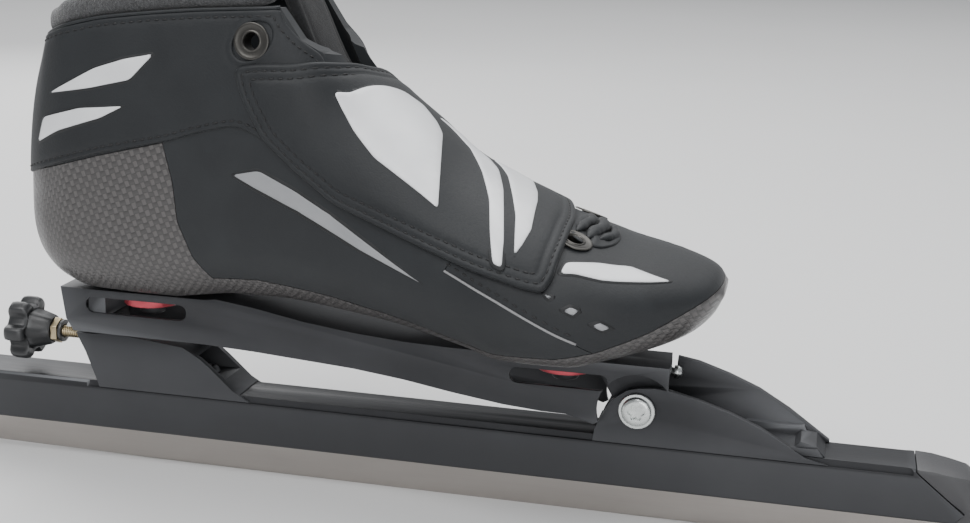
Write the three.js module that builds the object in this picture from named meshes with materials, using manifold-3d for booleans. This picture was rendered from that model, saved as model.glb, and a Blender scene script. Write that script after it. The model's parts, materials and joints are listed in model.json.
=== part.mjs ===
// Long-track clap speed skate for the right foot.
// Millimetres. +X runs along the blade to the nose, +Y to the inner side of the foot, +Z up.
// The origin is the middle of the runner's bottom edge.
import * as THREE from 'three';
import { mergeVertices } from 'three/addons/utils/BufferGeometryUtils.js';
import Module from 'manifold-3d';

const wasm = await Module();
wasm.setup();

// ---- driving dimensions ----
const GAP = 0.3; // play between touching pieces

// blade
const BLADE_LENGTH = 406;
const RUNNER_THICK = 1.1;
const RUNNER_SHOWN = 14.3; // height of bare steel under the tube
const RUNNER_SEAT = 6; // depth of the runner inside the tube
const ROCKER_RADIUS = 22000;
const TUBE_WIDTH = 20;
const TUBE_TOP = 33.3;
const TUBE_WALL = 1.7;
const RABBET_DEPTH = 2.45; // step along both top edges that the column and tower sit over
const RABBET_WIDTH = 1.2;
const NOSE_SEAM_X = 175.6;
const TAIL_SEAM_X = -188;
const CAP_REACH = 10; // length of the plug of an end cap

// heel column
const COLUMN_REAR_X = -131.2;
const COLUMN_FRONT_X = -69.3;
const COLUMN_PLATE = 2.4; // side plate thickness
const SCREW_RADIUS = 2.2;
const SCREW_HEAD_RADIUS = 4;
const SCREW_HEAD_HEIGHT = 2.4;

// hinge
const HINGE_X = 78;
const HINGE_RISE = 10.9; // hinge above the tube's top
const HINGE_BOLT_RADIUS = 3;
const HINGE_HEAD_RADIUS = 6.6;
const BUSHING_WALL = 1.4;
const CHEEK = 2.5; // thickness of a tower cheek
const EAR = 3.2; // thickness of a bridge ear
const ARCH_RADIUS = 14.2; // clearance arch in the bridge walls, round the hinge
const SPRING_WIRE = 1.2;
const SPRING_TURNS = 3;

// bridge
const BRIDGE_WALL = 1.5;
const CHANNEL_PLAY = 1.5; // between the bridge's walls and the column and tower inside them
const BRIDGE_REAR_X = -144.6;
const BRIDGE_FRONT_X = 89;
const BRIDGE_FRONT_RISE = 28.5; // front seat above the tube's top
const HEEL_LIFT = 9.2; // heel seat above the front seat
const REAR_PLATE = 2.6;
const FRONT_PLATE = 3.4;
const REAR_BOLT_X = -112.5;
const FRONT_BOLT_X = 50;
const BOLT_RADIUS = 2.9;
const DISC_PLAY = 0.5; // between a mounting disc and the bridge's walls
const DISC_THICK = 3.3;

// lock screw
const LOCK_RISE = 15.9; // lock stud above the tube's top
const STUD_RADIUS = 2.4;
const KNOB_RADIUS = 12.5;
const KNOB_FACE_X = -170.8;
const KNOB_THICK = 10.5;
const KNOB_LOBES = 6;

// boot
const HEEL_X = -157;
const BOOT_LENGTH = 262.5;
const BOOT_WALL = 4;
const COLLAR_HEIGHT = 9;
const TONGUE_THICK = 4;
const INSOLE_THICK = 3.5;
const COVER_INSIDE = 1.3; // distance of the closure cover from the upper
const COVER_THICK = 1.7;
const COVER_EDGE_Y = 18; // sewn edge of the cover, on the inner side
const EYELET_BORE = 2.9;
const EYELET_RADIUS = 6.5;

// ---- materials ----
function finish(color, roughness, metalness) {
  return new THREE.MeshStandardMaterial({ color, roughness, metalness });
}
const BLACK_METAL = finish(0x34363a, 0.42, 0.7);
const STEEL = finish(0x9a938c, 0.3, 0.9);
const ZINC = finish(0xd5d8d4, 0.25, 0.9);
const BRASS = finish(0xb5a070, 0.35, 0.9);
const RED_METAL = finish(0xb32a3c, 0.35, 0.6);
const BLACK_PLASTIC = finish(0x2a2c2e, 0.5, 0);
const RUBBER = finish(0x1c1c1d, 0.85, 0);
const CARBON = finish(0x4c4a48, 0.4, 0.1);
const MICROFIBRE = finish(0x2b2f33, 0.6, 0);
const PADDING = finish(0x1b1c1f, 0.95, 0);

// ---- solids ----
const AXIS_X = new THREE.Vector3(1, 0, 0);
const AXIS_Y = new THREE.Vector3(0, 1, 0);
const AXIS_Z = new THREE.Vector3(0, 0, 1);

function solid(geometry) {
  const bare = geometry.index ? geometry.toNonIndexed() : geometry.clone();
  bare.deleteAttribute('normal');
  bare.deleteAttribute('uv');
  const merged = mergeVertices(bare, 1e-4);
  return new wasm.Manifold(new wasm.Mesh({
    numProp: 3,
    vertProperties: new Float32Array(merged.attributes.position.array),
    triVerts: new Uint32Array(merged.index.array),
  }));
}

function geometryOf(body) {
  const mesh = body.getMesh();
  const geometry = new THREE.BufferGeometry();
  geometry.setAttribute('position', new THREE.BufferAttribute(new Float32Array(mesh.vertProperties), 3));
  geometry.setIndex(new THREE.BufferAttribute(new Uint32Array(mesh.triVerts), 1));
  geometry.computeVertexNormals();
  return geometry;
}

function join(...bodies) {
  return bodies.reduce((all, body) => all.add(body));
}

function cut(body, ...tools) {
  return tools.reduce((left, tool) => left.subtract(tool), body);
}

function extrude(points, depth) {
  const shape = new THREE.Shape(points.map(([a, b]) => new THREE.Vector2(a, b)));
  return new THREE.ExtrudeGeometry(shape, { depth, bevelEnabled: false });
}

// an outline in X and Z, extruded from y0 to y1
function sideways(points, y0, y1) {
  const basis = new THREE.Matrix4().makeBasis(AXIS_X, AXIS_Z, AXIS_Y.clone().negate());
  return solid(extrude(points, y1 - y0).applyMatrix4(basis).translate(0, y1, 0));
}

// an outline in Y and Z, extruded from x0 to x1
function lengthways(points, x0, x1) {
  const basis = new THREE.Matrix4().makeBasis(AXIS_Y, AXIS_Z, AXIS_X);
  return solid(extrude(points, x1 - x0).applyMatrix4(basis).translate(x0, 0, 0));
}

// an outline in X and Y, extruded from z0 to z1
function upwards(points, z0, z1) {
  return solid(extrude(points, z1 - z0).translate(0, 0, z0));
}

function block(x0, x1, y0, y1, z0, z1) {
  return upwards([[x0, y0], [x1, y0], [x1, y1], [x0, y1]], z0, z1);
}

// a closed profile of [radius, height] pairs turned about an axis through a point
function turned(profile, axis, at, sides = 20) {
  const loop = [...profile, profile[0]].map(([r, h]) => new THREE.Vector2(r, h));
  const geometry = new THREE.LatheGeometry(loop, sides);
  const turn = new THREE.Quaternion().setFromUnitVectors(AXIS_Y, axis);
  return solid(geometry.applyQuaternion(turn).translate(...at));
}

function rod(radius, h0, h1, axis, at, sides = 20) {
  return turned([[0, h0], [radius, h0], [radius, h1], [0, h1]], axis, at, sides);
}

function ring(inner, outer, h0, h1, axis, at, sides = 20) {
  return turned([[inner, h0], [outer, h0], [outer, h1], [inner, h1]], axis, at, sides);
}

function hexagon(radius, h0, h1, axis, at) {
  return rod(radius, h0, h1, axis, at, 6);
}

// a slot with round ends along the first axis of an outline
function slotOutline(a0, a1, b0, b1) {
  const radius = (b1 - b0) / 2;
  const middle = (b0 + b1) / 2;
  const steps = 6;
  const points = [];
  for (const [centre, start] of [[a1 - radius, -90], [a0 + radius, 90]]) {
    for (let i = 0; i <= steps; i += 1) {
      const angle = THREE.MathUtils.degToRad(start + (180 * i) / steps);
      points.push([centre + radius * Math.cos(angle), middle + radius * Math.sin(angle)]);
    }
  }
  return points;
}

// a closed anticlockwise outline moved outwards by a distance
function grown(points, distance) {
  const corners = points.map(([a, b]) => new THREE.Vector2(a, b));
  return corners.map((corner, i) => {
    const before = corner.clone().sub(corners[(i + corners.length - 1) % corners.length]).normalize();
    const after = corners[(i + 1) % corners.length].clone().sub(corner).normalize();
    const normal = new THREE.Vector2(before.y + after.y, -before.x - after.x).normalize();
    const reach = distance / Math.max(normal.dot(new THREE.Vector2(after.y, -after.x)), 0.5);
    return [corner.x + normal.x * reach, corner.y + normal.y * reach];
  });
}

const skate = new THREE.Group();
function add(name, body, material) {
  const mesh = new THREE.Mesh(geometryOf(body), material);
  mesh.name = name;
  skate.add(mesh);
}

// ---- blade ----
const HALF_LENGTH = BLADE_LENGTH / 2;
const TUBE_HALF = TUBE_WIDTH / 2;
const RABBET_HALF = TUBE_HALF - RABBET_WIDTH;
const RABBET_FLOOR = TUBE_TOP - RABBET_DEPTH;
const SEAT_TOP = RUNNER_SHOWN + RUNNER_SEAT;
const LIP_DROP = 1.2; // the lips that hold the runner reach below the tube's sides
const FAR = 40; // reach of a cutting tool past what it cuts
const HINGE_Z = TUBE_TOP + HINGE_RISE;
const LOCK_Z = TUBE_TOP + LOCK_RISE;
const BRIDGE_FRONT_TOP = TUBE_TOP + BRIDGE_FRONT_RISE;
const BRIDGE_REAR_TOP = BRIDGE_FRONT_TOP + HEEL_LIFT;

// an outline whose heights are given above a level
function above(level, points) {
  return points.map(([a, rise]) => [a, level + rise]);
}

function mirrored(points) {
  return [...points, ...points.map(([y, z]) => [-y, z]).reverse()];
}

const TUBE_SECTION = mirrored([
  [2.4, RUNNER_SHOWN - LIP_DROP],
  [TUBE_HALF - 1.1, RUNNER_SHOWN],
  [TUBE_HALF - 0.6, RUNNER_SHOWN + 0.7],
  [TUBE_HALF, RABBET_FLOOR - 1],
  [TUBE_HALF, TUBE_TOP - 0.9],
  [TUBE_HALF - 0.9, TUBE_TOP],
]);
const HOLLOW_SECTION = mirrored([
  [TUBE_HALF - TUBE_WALL - 0.5, SEAT_TOP + TUBE_WALL],
  [TUBE_HALF - TUBE_WALL, RABBET_FLOOR - TUBE_WALL],
  [RABBET_HALF - TUBE_WALL, TUBE_TOP - TUBE_WALL],
]);

// arrow-shaped end of the tube, seen from the side
const NOSE_REGION = [
  [NOSE_SEAM_X, TUBE_TOP + 2],
  [NOSE_SEAM_X, TUBE_TOP - 1.1],
  [NOSE_SEAM_X + 1.5, RABBET_FLOOR],
  [NOSE_SEAM_X + 17.2, RUNNER_SHOWN + 3.8],
  [NOSE_SEAM_X + 12, RUNNER_SHOWN - LIP_DROP - 1],
  [HALF_LENGTH + FAR, RUNNER_SHOWN - LIP_DROP - 1],
  [HALF_LENGTH + FAR, TUBE_TOP + 2],
];
const RUNNER_SLOT = block(-HALF_LENGTH - FAR, HALF_LENGTH + FAR, -RUNNER_THICK / 2 - GAP,
  RUNNER_THICK / 2 + GAP,
  0, SEAT_TOP + GAP);

function rabbet(side) {
  const plan = slotOutline(COLUMN_REAR_X - 6, NOSE_SEAM_X, RABBET_HALF, RABBET_HALF + 6);
  const step = upwards(plan, RABBET_FLOOR, TUBE_TOP + 1);
  return side < 0 ? step.mirror([0, 1, 0]) : step;
}

function rockerHeight(x) {
  return (x * x) / (2 * ROCKER_RADIUS);
}

function addBlade() {
  const flat = 20; // half length of the flat at the middle of the rocker
  const tip = 6; // radius of the runner's ends
  const bottom = [-HALF_LENGTH + tip, -150, -100, -60, -flat, flat, 60, 100, 150, HALF_LENGTH - tip]
    .map((x) => [x, Math.abs(x) <= flat ? 0 : rockerHeight(x)]);
  const end = rockerHeight(HALF_LENGTH);
  const runner = sideways([
    ...bottom,
    [HALF_LENGTH - 1.7, end + 2],
    [HALF_LENGTH, end + tip],
    [HALF_LENGTH, RUNNER_SHOWN],
    [HALF_LENGTH - tip, SEAT_TOP],
    [-HALF_LENGTH + tip, SEAT_TOP],
    [-HALF_LENGTH, RUNNER_SHOWN],
    [-HALF_LENGTH, end + tip],
    [-HALF_LENGTH + 1.7, end + 2],
  ], -RUNNER_THICK / 2, RUNNER_THICK / 2);
  add('runner', runner, STEEL);

  const hollow = lengthways(HOLLOW_SECTION, TAIL_SEAM_X - 1, NOSE_SEAM_X + FAR);
  const screwHoles = [...COLUMN_SCREWS, ...TOWER_SCREWS].map(
    (x) => rod(SCREW_RADIUS + GAP, RABBET_FLOOR - 3, TUBE_TOP + 1, AXIS_Z, [x, 0, 0]),
  );
  const tube = cut(lengthways(TUBE_SECTION, TAIL_SEAM_X, NOSE_SEAM_X + 18), hollow, RUNNER_SLOT,
    sideways(NOSE_REGION, -FAR, FAR), rabbet(1), rabbet(-1), ...screwHoles);
  add('blade_tube', tube, BLACK_METAL);

  add('nose_cap', endCap(true), BLACK_PLASTIC);
  add('tail_cap', endCap(false), BLACK_PLASTIC);
}

// an end cap with its plug, slotted over the runner
function endCap(front) {
  const sign = front ? 1 : -1;
  const seam = front ? NOSE_SEAM_X : TAIL_SEAM_X;
  const tipX = HALF_LENGTH + 1.5;
  const profile = front ? [
    [NOSE_SEAM_X, RUNNER_SHOWN - LIP_DROP],
    [tipX - 2, RUNNER_SHOWN - LIP_DROP],
    [tipX, RUNNER_SHOWN + 3],
    [tipX - 2.5, RUNNER_SHOWN + 11],
    [NOSE_SEAM_X + 18, TUBE_TOP - 2.3],
    [NOSE_SEAM_X + 6, TUBE_TOP - 0.3],
    [NOSE_SEAM_X, TUBE_TOP],
  ] : [
    [TAIL_SEAM_X - GAP, RUNNER_SHOWN - LIP_DROP],
    [TAIL_SEAM_X - GAP, TUBE_TOP],
    [TAIL_SEAM_X - 5, TUBE_TOP - 0.3],
    [-tipX + 2.5, TUBE_TOP - 5],
    [-tipX, RUNNER_SHOWN + 5],
    [-tipX + 2, RUNNER_SHOWN - LIP_DROP],
  ];
  const side = sideways(profile, -TUBE_HALF, TUBE_HALF);
  const seamed = front ? side.intersect(sideways(grown(NOSE_REGION, -GAP), -FAR, FAR)) : side;
  const plan = [
    [seam, -TUBE_HALF],
    [seam + sign * 12, -TUBE_HALF + 0.4],
    [sign * (tipX - 5), -TUBE_HALF + 3],
    [sign * (tipX + 1), -TUBE_HALF + 7],
    [sign * (tipX + 1), TUBE_HALF - 7],
    [sign * (tipX - 5), TUBE_HALF - 3],
    [seam + sign * 12, TUBE_HALF - 0.4],
    [seam, TUBE_HALF],
  ];
  const outline = front ? plan : [...plan].reverse();
  const head = seamed.intersect(upwards(outline, 0, TUBE_TOP + 1));
  const plugEnd = seam - sign * CAP_REACH;
  const plugRoot = seam + sign * (front ? 8 : 2);
  const plugHalf = RABBET_HALF - TUBE_WALL - GAP;
  const plug = block(Math.min(plugEnd, plugRoot), Math.max(plugEnd, plugRoot), -plugHalf, plugHalf,
    SEAT_TOP + TUBE_WALL + GAP, TUBE_TOP - TUBE_WALL - GAP);
  return cut(join(head, plug), RUNNER_SLOT);
}

// a button-head screw standing in the tube, its head on a floor
function addBaseScrew(name, x, floor) {
  const top = floor + GAP;
  const screw = turned([
    [0, RABBET_FLOOR - 1],
    [SCREW_RADIUS, RABBET_FLOOR - 1],
    [SCREW_RADIUS, top],
    [SCREW_HEAD_RADIUS, top],
    [SCREW_HEAD_RADIUS - 0.8, top + SCREW_HEAD_HEIGHT * 0.7],
    [SCREW_HEAD_RADIUS - 1.8, top + SCREW_HEAD_HEIGHT],
    [0, top + SCREW_HEAD_HEIGHT],
  ], AXIS_Z, [x, 0, 0], 12);
  const socket = hexagon(1.8, top + SCREW_HEAD_HEIGHT - 1.3, top + SCREW_HEAD_HEIGHT + 1, AXIS_Z, [x, 0,
    0]);
  add(name, cut(screw, socket), ZINC);
}

// the tube's top with its rabbets, grown by the play, for what sits over it
const SADDLE = lengthways(mirrored([
  [RABBET_HALF + GAP, RABBET_FLOOR - 8],
  [RABBET_HALF + GAP, TUBE_TOP + GAP],
]), -HALF_LENGTH, HALF_LENGTH);
const SADDLE_EDGE = RABBET_FLOOR + GAP;

// ---- heel column ----
const COLUMN_TOP = LOCK_Z + STUD_RADIUS + GAP + 0.5;
const WINDOW_FLOOR = TUBE_TOP + 5.2;
const WINDOW_TOP = LOCK_Z - 2;
const COLUMN_SCREWS = [COLUMN_FRONT_X - 38, COLUMN_FRONT_X - 20];
const BUMPER_X0 = BRIDGE_REAR_X + 11;
const BUMPER_X1 = BUMPER_X0 + 7;
const BUMPER_TOP = COLUMN_TOP + 7.6;

function addColumn() {
  const outline = [
    [COLUMN_REAR_X, SADDLE_EDGE],
    [COLUMN_FRONT_X, SADDLE_EDGE],
    ...above(TUBE_TOP, [
      [COLUMN_FRONT_X - 7, 1.9],
      [COLUMN_FRONT_X - 11, 5.5],
      [COLUMN_FRONT_X - 15.8, 9.8],
      [COLUMN_FRONT_X - 19.8, 13],
    ]),
    [COLUMN_FRONT_X - 27.1, COLUMN_TOP - 1.9],
    [COLUMN_FRONT_X - 36, COLUMN_TOP - 1],
    [COLUMN_REAR_X + 7, COLUMN_TOP + 0.8],
    [COLUMN_REAR_X - 2, COLUMN_TOP],
    [COLUMN_REAR_X - 9.2, COLUMN_TOP],
    [COLUMN_REAR_X - 5.4, LOCK_Z - 4.2],
  ];
  const inner = TUBE_HALF - COLUMN_PLATE;
  const window = sideways([
    [COLUMN_REAR_X + 9, WINDOW_FLOOR],
    [COLUMN_FRONT_X + 5, WINDOW_FLOOR],
    [COLUMN_FRONT_X + 5, WINDOW_TOP],
    [COLUMN_REAR_X + 12, WINDOW_TOP],
  ], -inner, inner);
  const studHole = rod(STUD_RADIUS + GAP, COLUMN_REAR_X - 20, COLUMN_REAR_X + 14, AXIS_X, [0, 0, LOCK_Z]);
  const holes = COLUMN_SCREWS.map((x) => rod(SCREW_RADIUS + GAP, 20, WINDOW_FLOOR + 1, AXIS_Z, [x, 0, 0]));
  add('heel_column', cut(sideways(outline, -TUBE_HALF, TUBE_HALF), window, SADDLE, studHole, ...holes),
    BLACK_METAL);
  COLUMN_SCREWS.forEach((x, i) => addBaseScrew(`column_screw_${i + 1}`, x, WINDOW_FLOOR));

  const half = TUBE_HALF - 1.5;
  const bumper = sideways([
    [BUMPER_X0, COLUMN_TOP + 0.8 + GAP],
    [BUMPER_X1, COLUMN_TOP + 0.8 + GAP],
    [BUMPER_X1, BUMPER_TOP - 1],
    [BUMPER_X1 - 1, BUMPER_TOP],
    [BUMPER_X0 + 1, BUMPER_TOP],
    [BUMPER_X0, BUMPER_TOP - 1],
  ], -half, half);
  add('heel_bumper', bumper, RUBBER);
}

// ---- hinge tower ----
const TOWER_REAR_X = HINGE_X - 15.6;
const TOWER_FRONT_X = HINGE_X + 67.9;
const TOWER_FLOOR = TUBE_TOP + 3;
const TOWER_SCREWS = [HINGE_X + 20, HINGE_X + 40];
const HINGE = [HINGE_X, 0, HINGE_Z];

function cheekOutline(tall) {
  const rear = [
    [TOWER_REAR_X, SADDLE_EDGE],
    [TOWER_FRONT_X, SADDLE_EDGE],
  ];
  const low = [
    ...above(TUBE_TOP, [
      [TOWER_FRONT_X - 8.1, -0.1],
      [TOWER_FRONT_X - 13.5, 2.9],
      [TOWER_FRONT_X - 24.4, 9],
      [TOWER_FRONT_X - 35, 13.3],
    ]),
    [TOWER_FRONT_X - 45.9, HINGE_Z + 5.8],
    [HINGE_X + 11, HINGE_Z + 8.4],
  ];
  const high = [
    [TOWER_FRONT_X, SADDLE_EDGE + 3],
    ...above(TUBE_TOP, [
      [TOWER_FRONT_X - 5.4, 4.6],
      [TOWER_FRONT_X - 14.8, 11.2],
      [TOWER_FRONT_X - 26, 17.7],
      [TOWER_FRONT_X - 37.1, 22.2],
      [TOWER_FRONT_X - 48.1, 25.7],
      [HINGE_X + 12, 27],
    ]),
    [HINGE_X + 11.6, HINGE_Z + 8.8],
  ];
  const crown = above(HINGE_Z, [
    [HINGE_X + 6, 8.8],
    [HINGE_X, 8.2],
    [HINGE_X - 4, 7],
    [HINGE_X - 7.5, 4.4],
    [HINGE_X - 9.8, 2.4],
    [HINGE_X - 14.1, -6.3],
    [HINGE_X - 15, -9],
  ]);
  return [...rear, ...(tall ? high : low), ...crown];
}

function addTower() {
  const inner = TUBE_HALF - CHEEK;
  const front = [
    [TOWER_FRONT_X - 13, TOWER_FLOOR - 1],
    [TOWER_FRONT_X, TOWER_FLOOR - 4.5],
    [TOWER_FRONT_X, SADDLE_EDGE + 1],
    [TOWER_FRONT_X - 4.5, TOWER_FLOOR + 0.7],
    [TOWER_FRONT_X - 10, TOWER_FLOOR + 2],
  ];
  const floor = sideways([
    [TOWER_REAR_X, SADDLE_EDGE],
    [TOWER_FRONT_X, SADDLE_EDGE],
    [TOWER_FRONT_X - 4, TOWER_FLOOR],
    [TOWER_REAR_X + 0.6, TOWER_FLOOR],
  ], -TUBE_HALF + 1, TUBE_HALF - 1);
  const ledge = sideways([
    [HINGE_X + 38, TOWER_FLOOR - 1],
    [TOWER_FRONT_X - 7, TOWER_FLOOR - 1],
    [TOWER_FRONT_X - 9, TOWER_FLOOR + 3.3],
    [HINGE_X + 38, TOWER_FLOOR + 3.3],
  ], inner - 2.5, inner + 0.5);
  const tower = join(
    sideways(cheekOutline(false), -TUBE_HALF, -inner),
    sideways(cheekOutline(true), inner, TUBE_HALF),
    floor,
    ledge,
    sideways(front, -inner - 0.5, inner + 0.5),
  );
  const boltHole = rod(HINGE_BOLT_RADIUS + GAP, -FAR, FAR, AXIS_Y, HINGE);
  const holes = TOWER_SCREWS.map((x) => rod(SCREW_RADIUS + GAP, 20, TOWER_FLOOR + 1, AXIS_Z, [x, 0, 0]));
  add('hinge_tower', cut(tower, SADDLE, boltHole, ...holes), BLACK_METAL);
  TOWER_SCREWS.forEach((x, i) => addBaseScrew(`tower_screw_${i + 1}`, x, TOWER_FLOOR));
}

// six-lobed driver recess along -Y
function driverRecess(radius, y0, y1, at) {
  const points = [];
  const steps = 24;
  for (let i = 0; i < steps; i += 1) {
    const angle = (2 * Math.PI * i) / steps;
    const reach = radius * (1 + 0.16 * Math.cos(6 * angle));
    points.push([at[0] + reach * Math.cos(angle), at[2] + reach * Math.sin(angle)]);
  }
  return sideways(points, y0, y1);
}

function addHinge() {
  const outside = -TUBE_HALF - GAP;
  const head = turned([
    [0, -2.4],
    [3.9, -2.3],
    [5, -1.7],
    [5.3, -1.1],
    [HINGE_HEAD_RADIUS - 0.3, -1.1],
    [HINGE_HEAD_RADIUS, -0.7],
    [HINGE_HEAD_RADIUS, 0],
    [0, 0],
  ], AXIS_Y, [HINGE_X, outside, HINGE_Z], 28);
  const shank = rod(HINGE_BOLT_RADIUS, outside - 0.2, TUBE_HALF + 4, AXIS_Y, HINGE);
  add('hinge_bolt', cut(join(head, shank), driverRecess(2.6, outside - 4, outside - 0.9, HINGE)), ZINC);

  const nut = cut(hexagon(5.6, TUBE_HALF + GAP, TUBE_HALF + 3.8, AXIS_Y, HINGE),
    rod(HINGE_BOLT_RADIUS + GAP, -FAR, FAR, AXIS_Y, HINGE));
  add('hinge_nut', nut, ZINC);

  const earOuter = TUBE_HALF - CHEEK - GAP;
  for (const [name, side] of [['hinge_bushing_outer', -1], ['hinge_bushing_inner', 1]]) {
    const near = Math.min(side * earOuter, side * (earOuter - EAR));
    add(name, ring(HINGE_BOLT_RADIUS + GAP, HINGE_BOLT_RADIUS + GAP + BUSHING_WALL, near, near + EAR,
      AXIS_Y, HINGE),
      BRASS);
  }
  addClapSpring(earOuter - EAR - 1);
}

// torsion spring round the hinge bolt, with one leg down to the tower and one up to the bridge
function addClapSpring(halfLength) {
  const radius = HINGE_BOLT_RADIUS + SPRING_WIRE + 0.9;
  const pitch = (2 * (halfLength - SPRING_WIRE / 2)) / SPRING_TURNS;
  const points = [new THREE.Vector3(HINGE_X + 12, -halfLength + SPRING_WIRE / 2, HINGE_Z - radius)];
  const perTurn = 10;
  for (let i = 0; i <= SPRING_TURNS * perTurn; i += 1) {
    const turn = i / perTurn;
    const angle = -Math.PI / 2 - 2 * Math.PI * turn;
    points.push(new THREE.Vector3(
      HINGE_X + radius * Math.cos(angle),
      -halfLength + SPRING_WIRE / 2 + pitch * turn,
      HINGE_Z + radius * Math.sin(angle),
    ));
  }
  points.push(new THREE.Vector3(HINGE_X - 10, halfLength - SPRING_WIRE / 2, HINGE_Z - radius));
  const path = new THREE.CatmullRomCurve3(points, false, 'centripetal');
  const section = new THREE.Shape();
  section.absarc(0, 0, SPRING_WIRE / 2, 0, 2 * Math.PI);
  const wire = new THREE.ExtrudeGeometry(section, {
    steps: 42, extrudePath: path, bevelEnabled: false, curveSegments: 3,
  });
  add('clap_spring', solid(wire), STEEL);
}

// ---- bridge ----
const BRIDGE_INNER = TUBE_HALF + CHANNEL_PLAY;
const BRIDGE_HALF = BRIDGE_INNER + BRIDGE_WALL;
const REAR_UNDER = BRIDGE_REAR_TOP - REAR_PLATE;
const FRONT_UNDER = BRIDGE_FRONT_TOP - FRONT_PLATE;
const WEB_FRONT_X = BRIDGE_REAR_X + 7;
const STRIKE_TOP = COLUMN_TOP + 3.9;

// top of the bridge's arch, falling from the heel seat to the front seat
const TOP_LINE = [
  [10, BRIDGE_FRONT_TOP],
  [-8.5, BRIDGE_FRONT_TOP + 0.06 * HEEL_LIFT],
  [-27.5, BRIDGE_FRONT_TOP + 0.22 * HEEL_LIFT],
  [-46.8, BRIDGE_FRONT_TOP + 0.48 * HEEL_LIFT],
  [-66.3, BRIDGE_FRONT_TOP + 0.86 * HEEL_LIFT],
  [-81, BRIDGE_REAR_TOP + 0.6],
  [-86, BRIDGE_REAR_TOP],
];
const BRIDGE_OUTLINE = [
  [BRIDGE_REAR_X + 1.9, COLUMN_TOP + 6.3],
  [BRIDGE_REAR_X + 4.8, COLUMN_TOP + 1.6],
  [-86.4, COLUMN_TOP + 1.2],
  ...above(TUBE_TOP, [
    [-66.4, 19.4],
    [-46.8, 17.9],
    [-27.4, 16.8],
    [-8.3, 14.6],
    [10.6, 11.6],
    [29.3, 9.1],
    [44, 8],
    [53.1, 7.9],
    [HINGE_X - 15.2, 5.1],
  ]),
  [BRIDGE_FRONT_X, HINGE_Z + 8.6],
  [BRIDGE_FRONT_X, BRIDGE_FRONT_TOP],
  ...TOP_LINE,
  [BRIDGE_REAR_X + 12, BRIDGE_REAR_TOP],
  [BRIDGE_REAR_X, BRIDGE_REAR_TOP + 0.2],
];
const CHANNEL_OUTLINE = [
  [WEB_FRONT_X, 0],
  [BRIDGE_FRONT_X + 5, 0],
  [BRIDGE_FRONT_X + 5, FRONT_UNDER],
  [12, FRONT_UNDER],
  ...TOP_LINE.slice(1, 5).map(([x, z]) => [x, z - REAR_PLATE]),
  [-84, REAR_UNDER],
  [WEB_FRONT_X, REAR_UNDER],
];

function ear(y0, y1) {
  const barrel = HINGE_BOLT_RADIUS + GAP + BUSHING_WALL + 2.8;
  const web = sideways([
    [HINGE_X - barrel, HINGE_Z],
    [HINGE_X + barrel, HINGE_Z],
    [HINGE_X + barrel + 1, FRONT_UNDER + 1],
    [HINGE_X - barrel - 9, FRONT_UNDER + 1],
  ], y0, y1);
  return join(web, rod(barrel, y0, y1, AXIS_Y, [HINGE_X, 0, HINGE_Z], 32));
}

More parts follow.
